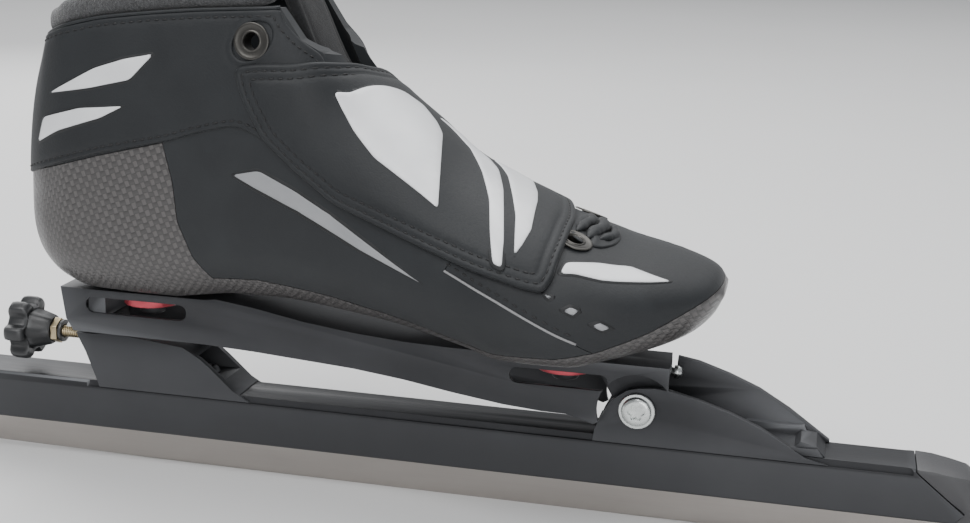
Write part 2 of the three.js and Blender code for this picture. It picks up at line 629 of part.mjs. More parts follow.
function addBridge() {
  const shell = cut(
    sideways(BRIDGE_OUTLINE, -BRIDGE_HALF, BRIDGE_HALF),
    sideways(CHANNEL_OUTLINE, -BRIDGE_INNER, BRIDGE_INNER),
    block(BRIDGE_REAR_X - 5, WEB_FRONT_X + 1, -BRIDGE_INNER, BRIDGE_INNER, 0, STRIKE_TOP + GAP),
    rod(ARCH_RADIUS, -FAR, FAR, AXIS_Y, HINGE, 48),
    sideways(slotOutline(REAR_BOLT_X - 21.8, REAR_BOLT_X + 19.5, REAR_UNDER - 6.5, REAR_UNDER - 0.3),
      -FAR, FAR),
    sideways(slotOutline(FRONT_BOLT_X - 18.5, FRONT_BOLT_X + 17.6, FRONT_UNDER - 7.3, FRONT_UNDER - 1.4),
      -FAR, FAR),
  );
  const restWeb = block(BUMPER_X0, BUMPER_X1, -BRIDGE_INNER - 0.5, BRIDGE_INNER + 0.5, BUMPER_TOP + GAP,
    REAR_UNDER + 1);
  const outer = TUBE_HALF - CHEEK - GAP;
  const bushingHole = rod(HINGE_BOLT_RADIUS + 2 * GAP + BUSHING_WALL, -outer - 1, outer + 1, AXIS_Y, HINGE);
  const boltSlots = [REAR_BOLT_X, FRONT_BOLT_X].map(
    (x) => upwards(slotOutline(x - 10, x + 10, -BOLT_RADIUS - GAP, BOLT_RADIUS + GAP), FRONT_UNDER - 1,
      FAR * 2),
  );
  // the inner front corner is cut back to pass the tall cheek
  const corner = upwards([
    [HINGE_X - 2, outer],
    [HINGE_X + FAR, outer],
    [HINGE_X + FAR, FAR],
    [HINGE_X - 2, FAR],
  ], HINGE_Z + 2, FAR * 2);
  const frontTrim = upwards([
    [BRIDGE_FRONT_X + 1, -BRIDGE_HALF],
    [BRIDGE_FRONT_X + FAR, -BRIDGE_HALF],
    [BRIDGE_FRONT_X + FAR, FAR],
    [BRIDGE_FRONT_X - 4, FAR],
    [BRIDGE_FRONT_X - 0.6, 2],
  ], HINGE_Z, FAR * 2);
  const stopHole = rod(STOP_RADIUS + GAP, BRIDGE_FRONT_X - 9, BRIDGE_FRONT_X + 1, AXIS_X, STOP_AT);
  const stopBoss = block(BRIDGE_FRONT_X - 8, BRIDGE_FRONT_X - 1, STOP_AT[1] - 2.6, STOP_AT[1] + 2.6,
    STOP_AT[2] - 2.6, FRONT_UNDER + 1);
  const bridge = cut(
    join(shell, restWeb, ear(-outer, -outer + EAR), ear(outer - EAR, outer), stopBoss),
    bushingHole, ...boltSlots, corner, frontTrim, stopHole,
  );
  add('bridge', bridge, BLACK_METAL);
  addStopScrew();

  const strike = sideways([
    [BRIDGE_REAR_X - 2.4, COLUMN_TOP + 0.4],
    [BRIDGE_REAR_X + 8, COLUMN_TOP + 0.4],
    [BRIDGE_REAR_X + 6, STRIKE_TOP],
    [BRIDGE_REAR_X - 0.8, STRIKE_TOP],
  ], -5.5, 5.5);
  add('latch_strike', strike, ZINC);

  addBootFixing('rear', REAR_BOLT_X, REAR_UNDER, BRIDGE_REAR_TOP);
  addBootFixing('front', FRONT_BOLT_X, FRONT_UNDER, BRIDGE_FRONT_TOP);
}

// domed screw under the bridge's front edge
const STOP_RADIUS = 1.5;
const STOP_AT = [0, 3.6, FRONT_UNDER - 2.6];
function addStopScrew() {
  const screw = turned([
    [0, BRIDGE_FRONT_X - 7],
    [STOP_RADIUS, BRIDGE_FRONT_X - 7],
    [STOP_RADIUS, BRIDGE_FRONT_X + 0.3],
    [2.4, BRIDGE_FRONT_X + 0.3],
    [2.4, BRIDGE_FRONT_X + 1.7],
    [1.6, BRIDGE_FRONT_X + 3],
    [0, BRIDGE_FRONT_X + 3.4],
  ], AXIS_X, STOP_AT, 16);
  add('stop_screw', screw, ZINC);
}

// a red disc under the bridge's plate, the bolt through it, and the nut in the sole
const SOLE_NUT_RISE = 3.4;
function addBootFixing(name, x, under, top) {
  const discTop = under - GAP;
  add(`mounting_disc_${name}`, ring(BOLT_RADIUS + GAP, BRIDGE_INNER - DISC_PLAY, discTop - DISC_THICK,
    discTop, AXIS_Z,
    [x, 0, 0], 28), RED_METAL);
  const headTop = discTop - DISC_THICK - GAP;
  const bolt = turned([
    [0, headTop - 3.6],
    [4.4, headTop - 3.6],
    [5, headTop - 3],
    [5, headTop],
    [BOLT_RADIUS, headTop],
    [BOLT_RADIUS, top + GAP + SOLE_NUT_RISE],
    [0, top + GAP + SOLE_NUT_RISE],
  ], AXIS_Z, [x, 0, 0]);
  const socket = hexagon(2.9, headTop - 5, headTop - 1.4, AXIS_Z, [x, 0, 0]);
  add(`mounting_bolt_${name}`, cut(bolt, socket), ZINC);
  add(`sole_nut_${name}`, ring(BOLT_RADIUS + GAP, BOLT_RADIUS + GAP + 2.4, top + 2 * GAP,
    top + GAP + SOLE_NUT_RISE, AXIS_Z, [x, 0, 0]), BRASS);
}

// ---- lock screw ----
function addLockScrew() {
  const at = [0, 0, LOCK_Z];
  const knobFront = KNOB_FACE_X + KNOB_THICK;
  const outline = [];
  const steps = 72;
  for (let i = 0; i < steps; i += 1) {
    const angle = (2 * Math.PI * i) / steps;
    const wave = Math.cos(KNOB_LOBES * angle);
    const reach = KNOB_RADIUS * (0.865 + 0.135 * Math.tanh(2.2 * wave) / Math.tanh(2.2));
    outline.push([reach * Math.cos(angle), LOCK_Z + reach * Math.sin(angle)]);
  }
  const star = lengthways(outline, KNOB_FACE_X, knobFront - 2.5);
  const hub = turned([
    [0, knobFront - 3],
    [KNOB_RADIUS * 0.62, knobFront - 3],
    [KNOB_RADIUS * 0.52, knobFront + 2],
    [KNOB_RADIUS * 0.44, knobFront + 5.5],
    [0, knobFront + 5.5],
  ], AXIS_X, at);
  const hubEnd = knobFront + 5.5;
  const insertHole = rod(STUD_RADIUS + 2 * GAP + 1.6, KNOB_FACE_X + 4, hubEnd + 1, AXIS_X, at);
  add('star_knob', cut(join(star, hub), insertHole), BLACK_PLASTIC);
  add('knob_insert', ring(STUD_RADIUS + GAP, STUD_RADIUS + GAP + 1.6, KNOB_FACE_X + 4 + GAP, hubEnd,
    AXIS_X, at),
    BRASS);
  const nutEnd = hubEnd + GAP + 2.6;
  add('knob_jam_nut', cut(hexagon(5.2, hubEnd + GAP, nutEnd, AXIS_X, at),
    rod(STUD_RADIUS + GAP, hubEnd - 1, nutEnd + 1, AXIS_X, at)), ZINC);
  add('knob_washer', ring(STUD_RADIUS + GAP, 4.4, nutEnd + GAP, nutEnd + GAP + 1.2, AXIS_X, at),
    BLACK_PLASTIC);
  add('lock_stud', rod(STUD_RADIUS, KNOB_FACE_X + 4 + GAP, COLUMN_REAR_X + 7, AXIS_X, at), BRASS);
}

// ---- boot ----
// heights of the boot's own lines are given above the heel seat
const TOE_X = HEEL_X + BOOT_LENGTH;
const HEEL_SEAT = BRIDGE_REAR_TOP + GAP;
const BALL_SEAT = BRIDGE_FRONT_TOP + GAP;
// a smooth curve through a few [x, value] pairs
function curve(pairs) {
  return (x) => {
    const last = pairs.length - 1;
    if (x <= pairs[0][0]) return pairs[0][1];
    if (x >= pairs[last][0]) return pairs[last][1];
    const i = pairs.findIndex((pair) => pair[0] > x) - 1;
    const slope = (a, b) => (pairs[b][1] - pairs[a][1]) / (pairs[b][0] - pairs[a][0]);
    const tangent = (k) => {
      if (k === 0 || k === last) return slope(Math.max(k - 1, 0), Math.min(k + 1, last));
      const before = slope(k - 1, k);
      const after = slope(k, k + 1);
      return before * after <= 0 ? 0 : (2 * before * after) / (before + after);
    };
    const width = pairs[i + 1][0] - pairs[i][0];
    const t = (x - pairs[i][0]) / width;
    const [a, b] = [pairs[i][1], pairs[i + 1][1]];
    return a * (1 + 2 * t) * (1 - t) ** 2 + tangent(i) * width * t * (1 - t) ** 2
      + b * t * t * (3 - 2 * t) + tangent(i + 1) * width * t * t * (t - 1);
  };
}

const LOFT_TOP = 134.7; // the ankle's walls are lofted to here, above the collar
const soleLine = curve(above(HEEL_SEAT, [
  [HEEL_X, 28], [HEEL_X + 2, 17], [HEEL_X + 8, 8], [HEEL_X + 18, 2.4], [HEEL_X + 29, 0], [HEEL_X + 60, 0],
  [-86, 1.2], [-72, 2.6], [-56, 2.6], [-28, 0.2], [2, -3.6], [20, -6.6],
  [FRONT_BOLT_X - 18, BALL_SEAT - HEEL_SEAT], [FRONT_BOLT_X + 6, BALL_SEAT - HEEL_SEAT],
  [68, -6.2], [82, -2.2], [95, 2.6], [TOE_X - 3, 9], [TOE_X, 15],
]));
const topLine = curve(above(HEEL_SEAT, [
  [HEEL_X, 34.7], [HEEL_X + 1, 49.7], [HEEL_X + 3, 68.7], [HEEL_X + 6, 83.7], [HEEL_X + 11, 97.7],
  [HEEL_X + 17, 116.7], [HEEL_X + 28, LOFT_TOP], [-56, LOFT_TOP], [-44, 118.7], [-30, 92.5], [-14.7, 78.3],
  [-3.3, 69.5], [11.8, 57.2], [23, 51.2], [35.9, 45.5], [49.6, 39.5], [60, 35.8], [70, 32.3],
  [84, 29.3], [95, 26.3], [TOE_X - 3, 23], [TOE_X, 18.5],
]));
const halfWidth = curve([
  [HEEL_X, 5], [HEEL_X + 1, 9], [HEEL_X + 3, 13.5], [HEEL_X + 8, 20], [HEEL_X + 15, 25.2],
  [HEEL_X + 26, 29.5], [-110, 32.5], [-80, 33], [-45, 34.5], [-12, 39], [15, 44], [38, 47.5], [52, 47.5],
  [66, 45], [80, 39.5], [92, 31], [TOE_X - 5, 22], [TOE_X, 11],
]);
const middleLine = curve([[HEEL_X, 0], [-60, 0], [20, -1.5], [60, 0.5], [TOE_X, 6]]);
const widestLine = curve(above(HEEL_SEAT, [
  [HEEL_X, 30.7], [-140, 28.7], [-100, 25.7], [-60, 26.7], [-20, 22.7], [20, 17.7], [50, 14.7], [80, 15.2],
  [TOE_X, 16.7],
]));
const roundness = curve([
  [HEEL_X, 2.3], [-130, 3], [-60, 3.5], [-20, 2.4], [20, 2.15], [60, 2.2], [TOE_X, 2],
]);
const soleRoundness = curve([
  [HEEL_X, 2.2], [-130, 2.7], [-95, 2.8], [-70, 2.4], [-10, 2.2], [20, 2.6], [50, 3], [80, 3], [TOE_X, 2.4],
]);
const LEAST_RISE = 0.6; // keeps an inner surface from turning inside out at its ends

// a point of the boot's surface, moved outwards by an offset
function bootPoint(x, angle, offset) {
  const share = (x - HEEL_X) / (TOE_X - HEEL_X);
  const step = 1;
  const topSlope = (topLine(x + step) - topLine(x - step)) / (2 * step);
  const spread = Math.min(Math.hypot(1, topSlope), 2);
  const upper = Math.sin(angle) >= 0;
  const power = 2 / (upper ? roundness(x) : soleRoundness(x));
  const across = Math.sign(Math.cos(angle)) * Math.abs(Math.cos(angle)) ** power;
  const along = Math.sign(Math.sin(angle)) * Math.abs(Math.sin(angle)) ** power;
  const widest = widestLine(x);
  const rise = Math.max(upper ? topLine(x) - widest + offset * spread : widest - soleLine(x) + offset,
    LEAST_RISE);
  return new THREE.Vector3(
    x + offset * (2 * share - 1),
    middleLine(x) + (halfWidth(x) + offset) * across,
    widest + rise * along,
  );
}

// the lofted sections stand closer together where the surface bends: distances from the heel in 267ths
const STATION_PARTS = 267;
const STATIONS = [0, 3, 9, 18, 32, 52, 78, 102, 114, 123, 133, 146, 160, 176, 192, 208, 222, 234, 245,
  254, 261, STATION_PARTS]
  .map((part) => HEEL_X + (part * (TOE_X - HEEL_X)) / STATION_PARTS);
const RING_POINTS = 28;

function bootLoft(offset) {
  const positions = [];
  const index = [];
  STATIONS.forEach((x) => {
    for (let k = 0; k < RING_POINTS; k += 1) {
      positions.push(...bootPoint(x, (2 * Math.PI * k) / RING_POINTS, offset).toArray());
    }
  });
  for (let s = 0; s < STATIONS.length - 1; s += 1) {
    for (let k = 0; k < RING_POINTS; k += 1) {
      const a = s * RING_POINTS + k;
      const b = s * RING_POINTS + ((k + 1) % RING_POINTS);
      index.push(a, b, a + RING_POINTS, b, b + RING_POINTS, a + RING_POINTS);
    }
  }
  for (const [s, flip] of [[0, true], [STATIONS.length - 1, false]]) {
    const centre = positions.length / 3;
    const x = STATIONS[s];
    positions.push(bootPoint(x, 0, offset).x, middleLine(x), widestLine(x));
    for (let k = 0; k < RING_POINTS; k += 1) {
      const a = s * RING_POINTS + k;
      const b = s * RING_POINTS + ((k + 1) % RING_POINTS);
      index.push(...(flip ? [centre, b, a] : [centre, a, b]));
    }
  }
  const geometry = new THREE.BufferGeometry();
  geometry.setAttribute('position', new THREE.Float32BufferAttribute(positions, 3));
  geometry.setIndex(index);
  return solid(geometry);
}

const OVER = HEEL_SEAT + 160; // above and beyond the whole boot
const COLLAR_LINE = above(HEEL_SEAT, [[-49.6, 110.5], [-79, 108.5], [-97.7, 106.6], [-116.8, 104],
  [-132.4, 100.2],
  [HEEL_X + 13.8, 95.9], [HEEL_X - 10, 91.7]]);
const QUARTER_FRONT = above(HEEL_SEAT, [[-13, 87.7], [-35.9, 95.3], [-42.4, 100]]);
const CARBON_REGION = above(HEEL_SEAT, [
  [HEEL_X - 10, -21.3], [TOE_X + 10, -21.3], [TOE_X + 10, 24.7], [99.5, 17.1], [83.2, 8.9], [66.5, 2.3],
    [52.6, -0.7],
  [31.6, -1.3], [20, 1.1], [0, 5.7], [-30, 11.2], [-58, 14.2], [-75, 13.2], [-81.5, 21.4], [-87, 33.7],
  [-88.7, 48.3], [-92.2, 61.7], [-117.5, 55.3], [-144.7, 47.2], [HEEL_X - 10, 41.7],
]);
const TOE_REGION = above(HEEL_SEAT, [[61, -21.3], [TOE_X + 10, -21.3], [TOE_X + 10, 63.7], [43, 63.7],
  [24, 40.7], [13.4, 26.1]]);
const THROAT = [[-75, -13], [-20, -13], [52, -8.5], [60, -6], [63, 0], [60, 6], [52, 8.5], [-20, 13],
  [-75, 13]];
const COVER_OUTLINE = above(HEEL_SEAT, [
  [-54.5, 65.7], [-29, 44.7], [7.1, 30], [31.9, 21.5], [47.6, 19.4], [55.5, 51.1], [64, 78.7], [0, 100.7],
  [-13, 96.1], [-64.5, 90.3],
]);
const PATCH_OUTLINE = above(HEEL_SEAT, [[-42, 58.7], [4, 36.7], [38, 24.7], [42, 34.7], [10, 47.7],
  [-34, 72.7]]);

// eyelet centres: side of the boot, distance along it and height
const EYELETS = [
  { name: 'eyelet_outer_top', side: -1, x: -58.7, z: HEEL_SEAT + 99.1 },
  { name: 'eyelet_outer_front', side: -1, x: 54.6, z: HEEL_SEAT + 35.7 },
  { name: 'eyelet_inner_top', side: 1, x: -60, z: HEEL_SEAT + 98.7 },
  { name: 'eyelet_inner_front', side: 1, x: 53, z: HEEL_SEAT + 35.7 },
];

// where the boot's surface meets a height on one side, and which way it faces there
function surfaceAt(x, z, side) {
  let [low, high] = [0, Math.PI / 2];
  for (let i = 0; i < 40; i += 1) {
    const middle = (low + high) / 2;
    if (bootPoint(x, middle, 0).z < z) low = middle;
    else high = middle;
  }
  const angle = side > 0 ? low : Math.PI - low;
  const step = 0.01;
  const point = bootPoint(x, angle, 0);
  const round = bootPoint(x, angle + step, 0).sub(bootPoint(x, angle - step, 0));
  const along = bootPoint(x + 1, angle, 0).sub(bootPoint(x - 1, angle, 0));
  const normal = round.cross(along).normalize();
  return { point, normal };
}

const EYELET_INSIDE = -BOOT_WALL - 1.1;
const EYELET_LIFT = GAP + 0.1; // the surface curves up under the flange

// the hole through the upper, with a flat seat for the inner flange
function eyeletHole(eyelet) {
  const { point, normal } = surfaceAt(eyelet.x, eyelet.z, eyelet.side);
  const at = point.toArray();
  return join(rod(EYELET_BORE + 0.8 + GAP, -BOOT_WALL * 3, BOOT_WALL, normal, at),
    rod(EYELET_RADIUS - 1 + GAP, -BOOT_WALL * 3, EYELET_INSIDE + GAP, normal, at));
}

function addEyelet(eyelet) {
  const { point, normal } = surfaceAt(eyelet.x, eyelet.z, eyelet.side);
  const inside = EYELET_INSIDE;
  const body = turned([
    [EYELET_BORE, inside - 0.8],
    [EYELET_RADIUS - 1, inside - 0.8],
    [EYELET_RADIUS - 1, inside],
    [EYELET_BORE + 0.8, inside],
    [EYELET_BORE + 0.8, EYELET_LIFT],
    [EYELET_RADIUS, EYELET_LIFT],
    [EYELET_RADIUS - 1, EYELET_LIFT + 0.4],
    [EYELET_BORE, EYELET_LIFT + 0.1],
  ], normal, point.toArray(), 18);
  add(eyelet.name, body, ZINC);
}

function addBoot() {
  const outside = bootLoft(0);
  const shell = cut(outside, bootLoft(-BOOT_WALL));
  const aboveCollar = sideways([...COLLAR_LINE, [HEEL_X - 10, OVER], [OVER, OVER],
    [OVER, QUARTER_FRONT[0][1]], ...QUARTER_FRONT],
    -FAR * 2, FAR * 2);
  const throat = upwards(THROAT, HEEL_SEAT + 29, OVER);
  const eyeletHoles = EYELETS.map(eyeletHole);
  const soleHoles = [REAR_BOLT_X, FRONT_BOLT_X].map(
    (x) => rod(BOLT_RADIUS + 2 * GAP + 2.4, BALL_SEAT - 10, HEEL_SEAT + 20, AXIS_Z, [x, 0, 0]),
  );
  const carbon = sideways(CARBON_REGION, -FAR * 2, FAR * 2);
  const carbonPlay = sideways(grown(CARBON_REGION, GAP), -FAR * 2, FAR * 2);
  const toe = sideways(TOE_REGION, -FAR * 2, FAR * 2);
  const toePlay = sideways(grown(TOE_REGION, GAP), -FAR * 2, FAR * 2);
  const bossed = join(shell, ...soleBosses().map((boss) => boss.intersect(outside)));
  add('carbon_sole', cut(bossed.intersect(carbon), ...soleHoles), CARBON);
  const upper = cut(shell, carbonPlay, throat, ...eyeletHoles);
  add('toe_box', upper.intersect(toe), MICROFIBRE);
  const rest = cut(upper, toePlay, aboveCollar);
  add('quarter_outer', rest.intersect(block(-OVER, OVER, -OVER, -GAP / 2, 0, OVER)), MICROFIBRE);
  add('quarter_inner', rest.intersect(block(-OVER, OVER, GAP / 2, OVER, 0, OVER)), MICROFIBRE);
  EYELETS.forEach(addEyelet);
  addSoftParts();
  addCover();
}

// thickened pads of the sole round its two nuts
function soleBosses() {
  const height = SOLE_NUT_RISE + 2;
  return [[REAR_BOLT_X, HEEL_SEAT], [FRONT_BOLT_X, BALL_SEAT]].map(
    ([x, seat]) => rod(BOLT_RADIUS + 9, seat - 1, seat + height, AXIS_Z, [x, 0, 0]),
  );
}

function addSoftParts() {
  const front = COLLAR_LINE[0];
  const lower = COLLAR_LINE.map(([x, z]) => [x, z + GAP]);
  const upper = COLLAR_LINE.map(([x, z]) => [x, z + COLLAR_HEIGHT]).reverse();
  const band = sideways([...lower, ...upper], -FAR * 2, FAR * 2);
  const openFront = block(front[0] - 14, OVER, -16, 16, HEEL_SEAT, OVER);
  add('collar_pad', cut(bootLoft(-0.5), bootLoft(-8)).intersect(cut(band, openFront)), PADDING);

  const under = -BOOT_WALL - 2.4;
  const tongueSheet = cut(bootLoft(under), bootLoft(under - TONGUE_THICK));
  const plan = upwards([[-58, -11], [-30, -20], [20, -20], [56, -12], [62, 0], [56, 12], [20, 20],
    [-30, 20],
    [-58, 11]], HEEL_SEAT + 28.7, HEEL_SEAT + 122.7);
  add('tongue', tongueSheet.intersect(plan), PADDING);

  const floor = BOOT_WALL + GAP + INSOLE_THICK;
  const insoleTop = [90, 70, 50, 30, 8, -25, -55, -75, -98, -140].map((x) => [x,
    soleLine(x) + floor + 1.6]);
  const insole = bootLoft(-BOOT_WALL - GAP).intersect(sideways([[-150, 0], [90, 0], ...insoleTop,
    [-150, HEEL_SEAT + 12.7]],
    -FAR * 2, FAR * 2));
  add('insole', cut(insole, ...soleBossPlay()), PADDING);
}

function soleBossPlay() {
  return [[REAR_BOLT_X, HEEL_SEAT], [FRONT_BOLT_X, BALL_SEAT]].map(
    ([x, seat]) => rod(BOLT_RADIUS + 9 + GAP, seat - 1, seat + SOLE_NUT_RISE + 2 + GAP, AXIS_Z, [x, 0, 0]),
  );
}

function addCover() {
  const sheet = cut(bootLoft(COVER_INSIDE + COVER_THICK), bootLoft(COVER_INSIDE));
  const region = sideways(COVER_OUTLINE, -FAR * 2, COVER_EDGE_Y);
  const lowest = block(-OVER, OVER, -FAR * 2, COVER_EDGE_Y, HEEL_SEAT + 12.7, OVER);
  add('closure_cover', sheet.intersect(region).intersect(lowest), MICROFIBRE);

  const patch = cut(bootLoft(COVER_INSIDE - GAP), bootLoft(GAP));
  add('loop_patch', patch.intersect(sideways(PATCH_OUTLINE, -FAR * 2, 0)), PADDING);
}

addBlade();
addColumn();
addTower();
addHinge();
addBridge();
addLockScrew();
addBoot();

export default skate;
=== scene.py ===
"""Looks of a long-track clap speed skate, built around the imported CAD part.

Lengths are millimetres, and pieces are scaled to metres when made. The camera, the lights and the textures'
scales are in metres.
X runs along the blade to the nose, +Y is the inner side of the foot, Z is up.
"""
import json
import math

import bpy
import bmesh
import numpy as np
from mathutils import Matrix, Vector
from mathutils.geometry import delaunay_2d_cdt

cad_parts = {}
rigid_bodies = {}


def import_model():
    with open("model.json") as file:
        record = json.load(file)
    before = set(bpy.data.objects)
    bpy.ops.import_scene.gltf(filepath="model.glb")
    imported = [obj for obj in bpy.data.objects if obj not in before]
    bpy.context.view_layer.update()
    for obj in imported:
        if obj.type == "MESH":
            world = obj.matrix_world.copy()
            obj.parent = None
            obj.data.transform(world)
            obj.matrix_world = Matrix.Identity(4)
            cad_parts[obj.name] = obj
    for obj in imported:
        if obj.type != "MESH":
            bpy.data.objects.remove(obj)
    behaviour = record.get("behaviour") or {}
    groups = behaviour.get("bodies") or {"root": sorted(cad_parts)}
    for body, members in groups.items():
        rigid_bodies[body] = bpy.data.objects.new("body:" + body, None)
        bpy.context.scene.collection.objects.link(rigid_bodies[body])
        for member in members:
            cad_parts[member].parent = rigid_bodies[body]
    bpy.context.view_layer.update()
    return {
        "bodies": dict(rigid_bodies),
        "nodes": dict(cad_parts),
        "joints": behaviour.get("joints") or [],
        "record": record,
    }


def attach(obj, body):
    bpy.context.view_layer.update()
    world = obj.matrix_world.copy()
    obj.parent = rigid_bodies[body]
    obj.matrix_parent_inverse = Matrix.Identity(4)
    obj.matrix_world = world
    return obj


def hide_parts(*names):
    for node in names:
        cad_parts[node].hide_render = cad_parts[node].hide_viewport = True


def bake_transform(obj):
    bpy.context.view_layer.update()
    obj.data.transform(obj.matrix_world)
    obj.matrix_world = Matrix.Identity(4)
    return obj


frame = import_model()

MM = 0.001
PI = math.pi


# ---------------------------------------------------------------- camera, floor, light
def make_camera():
    """The photograph's viewpoint: in front of the toe side, looking back, slightly down and rolled."""
    right = Vector((0.97336, 0.22742, 0.02909))
    up = Vector((-0.08251, 0.22909, 0.96990))
    back = Vector((0.21391, -0.94647, 0.24176))
    place = Vector((0.13659, -0.52229, 0.22509))
    data = bpy.data.cameras.new("camera")
    data.lens = 56.24
    data.sensor_width = 36.0
    data.sensor_fit = "HORIZONTAL"
    data.clip_start = 0.01
    data.clip_end = 20
    camera = bpy.data.objects.new("camera", data)
    turn = Matrix((right, up, back)).transposed()
    camera.matrix_world = Matrix.Translation(place) @ turn.to_4x4()
    bpy.context.scene.collection.objects.link(camera)
    bpy.context.scene.camera = camera


def area_light(name, place, target, size, power):
    data = bpy.data.lights.new(name, "AREA")
    data.shape = "RECTANGLE"
    data.size, data.size_y = size
    data.energy = power
    light = bpy.data.objects.new(name, data)
    light.location = place
    light.rotation_euler = (Vector(target) - Vector(place)).to_track_quat("-Z", "Y").to_euler()
    bpy.context.scene.collection.objects.link(light)


def make_studio():
    area_light("key", (-0.25, -0.75, 1.25), (0, 0, 0.08), (1.1, 0.7), 15)
    area_light("top", (0.1, 0.25, 1.3), (0, 0.1, 0.0), (1.4, 0.8), 10)
    area_light("far_floor", (0, 1.5, 1.9), (0, 1.4, 0), (3.2, 1.6), 34)
    area_light("front", (0.55, -1.3, 0.35), (0, 0, 0.06), (0.9, 0.7), 6)
    area_light("back", (-0.9, 0.9, 0.7), (0, 0, 0.1), (0.8, 0.8), 6)
    world = bpy.data.worlds.new("studio")
    world.use_nodes = True
    shade = world.node_tree.nodes["Background"]
    shade.inputs["Color"].default_value = (0.9, 0.92, 0.95, 1)
    shade.inputs["Strength"].default_value = 0.45
    bpy.context.scene.world = world


# ---------------------------------------------------------------- materials
class Nodes:
    """A short way to write a node tree."""

    def __init__(self, name):
        self.material = bpy.data.materials.new(name)
        self.material.use_nodes = True
        self.tree = self.material.node_tree
        self.shader = self.tree.nodes["Principled BSDF"]

    def add(self, kind, inputs=(), **settings):
        node = self.tree.nodes.new(kind)
        for key, value in settings.items():
            setattr(node, key, value)
        for key, value in dict(inputs).items():
            self.feed(node.inputs[key], value)
        return node

    def feed(self, socket, value):
        if isinstance(value, bpy.types.NodeSocket):
            self.tree.links.new(value, socket)
        elif isinstance(value, (tuple, list)) and len(value) == 3 and socket.type == "RGBA":
            socket.default_value = (*value, 1)
        else:
            socket.default_value = value

    def math(self, operation, *values, clamp=False):
        node = self.add("ShaderNodeMath", operation=operation, use_clamp=clamp)
        for i, value in enumerate(values):
            self.feed(node.inputs[i], value)
        return node.outputs[0]

    def ramp(self, factor, *stops):
        """Colours or greys at places along a factor."""
        node = self.add("ShaderNodeValToRGB", {"Fac": factor})
        steps = node.color_ramp.elements
        for i, (place, color) in enumerate(stops):
            step = steps[i] if i < 2 else steps.new(place)
            step.position = place
            step.color = (color, color, color, 1) if isinstance(color, float) else (*color, 1)
        return node.outputs[0]

    def noise(self, where, scale, detail=3.0, roughness=0.5, distortion=0.0):
        return self.add("ShaderNodeTexNoise", {"Vector": where, "Scale": scale, "Detail": detail,
                                               "Roughness": roughness,
                                               "Distortion": distortion}).outputs["Fac"]

    def place(self):
        return self.add("ShaderNodeTexCoord").outputs["Object"]

    def stretched(self, where, scale):
        return self.add("ShaderNodeMapping", {"Vector": where, "Scale": scale}).outputs[0]

    def bump(self, height, strength, distance, below=None):
        inputs = {"Height": height, "Strength": strength, "Distance": distance}
        if below is not None:
            inputs["Normal"] = below
        return self.add("ShaderNodeBump", inputs).outputs[0]

    def worn_edge(self):
        """1 on outer edges, from the surface's pointiness."""
        pointed = self.add("ShaderNodeNewGeometry").outputs["Pointiness"]
        return self.ramp(pointed, (0.52, 0.0), (0.60, 1.0))

    def mix(self, factor, a, b):
        node = self.add("ShaderNodeMix", data_type="RGBA")
        self.feed(node.inputs[0], factor)
        self.feed(node.inputs[6], a)
        self.feed(node.inputs[7], b)
        return node.outputs[2]

    def done(self, **inputs):
        for key, value in inputs.items():
            self.feed(self.shader.inputs[key.replace("_", " ")], value)
        return self.material


def anodised(name, dark, light, roughness=0.42, edge=(0.16, 0.165, 0.175), grain=(60, 900, 900)):
    """Anodised aluminium with fine machining lines along X, cloudy tone and paler worn edges."""
    n = Nodes(name)
    place = n.place()
    cloud = n.noise(place, 28, 4)
    lines = n.noise(n.stretched(place, grain), 3.0, 2, 0.6)
    tone = n.mix(n.ramp(cloud, (0.3, 0.0), (0.75, 1.0)), dark, light)
    tone = n.mix(n.math("MULTIPLY", n.worn_edge(), 0.55), tone, edge)
    rough = n.math("MULTIPLY_ADD", lines, 0.16, roughness - 0.08)
    rough = n.math("MULTIPLY_ADD", cloud, 0.08, rough)
    speck = n.noise(place, 2600, 2)
    height = n.math("MULTIPLY_ADD", lines, 0.6, n.math("MULTIPLY", speck, 0.5))
    return n.done(Base_Color=tone, Metallic=0.55, Roughness=rough, Specular_IOR_Level=0.5,
                  Normal=n.bump(height, 0.16, 0.0001))


def bright_metal(name, dark, light, roughness=0.28, metallic=1.0):
    """Plated or turned metal with fine scratches."""
    n = Nodes(name)
    place = n.place()
    cloud = n.noise(place, 90, 3)
    scratches = n.noise(n.stretched(place, (200, 200, 200)), 6.0, 3, 0.6)
    tone = n.mix(cloud, dark, light)
    rough = n.math("MULTIPLY_ADD", scratches, 0.18, roughness - 0.09)
    return n.done(Base_Color=tone, Metallic=metallic, Roughness=rough,
                  Normal=n.bump(scratches, 0.12, 0.00008))


def runner_steel():
    """Ground steel: fine lines along the blade, a polished strip low down and small nicks."""
    n = Nodes("runner_steel")
    place = n.place()
    along = n.noise(n.stretched(place, (18, 600, 2600)), 2.0, 4, 0.65)
    across = n.noise(n.stretched(place, (900, 40, 60)), 2.0, 2, 0.5)
    cloud = n.noise(n.stretched(place, (9, 30, 60)), 2.0, 3)
    tone = n.mix(cloud, (0.30, 0.272, 0.252), (0.42, 0.392, 0.368))
    tone = n.mix(n.math("MULTIPLY", along, 0.35), tone, (0.54, 0.515, 0.49))
    height = n.add("ShaderNodeSeparateXYZ", {"Vector": place}).outputs["Z"]
    low = n.ramp(n.math("MULTIPLY", height, 1 / 0.0143), (0.0, 0.0), (0.22, 1.0))
    rough = n.math("MULTIPLY_ADD", along, 0.22, n.math("MULTIPLY_ADD", low, 0.12, 0.22))
    lines = n.math("MULTIPLY_ADD", along, 0.8, n.math("MULTIPLY", across, 0.2))
    return n.done(Base_Color=tone, Metallic=0.85, Roughness=rough, Anisotropic=0.5,
                  Normal=n.bump(lines, 0.2, 0.0001))


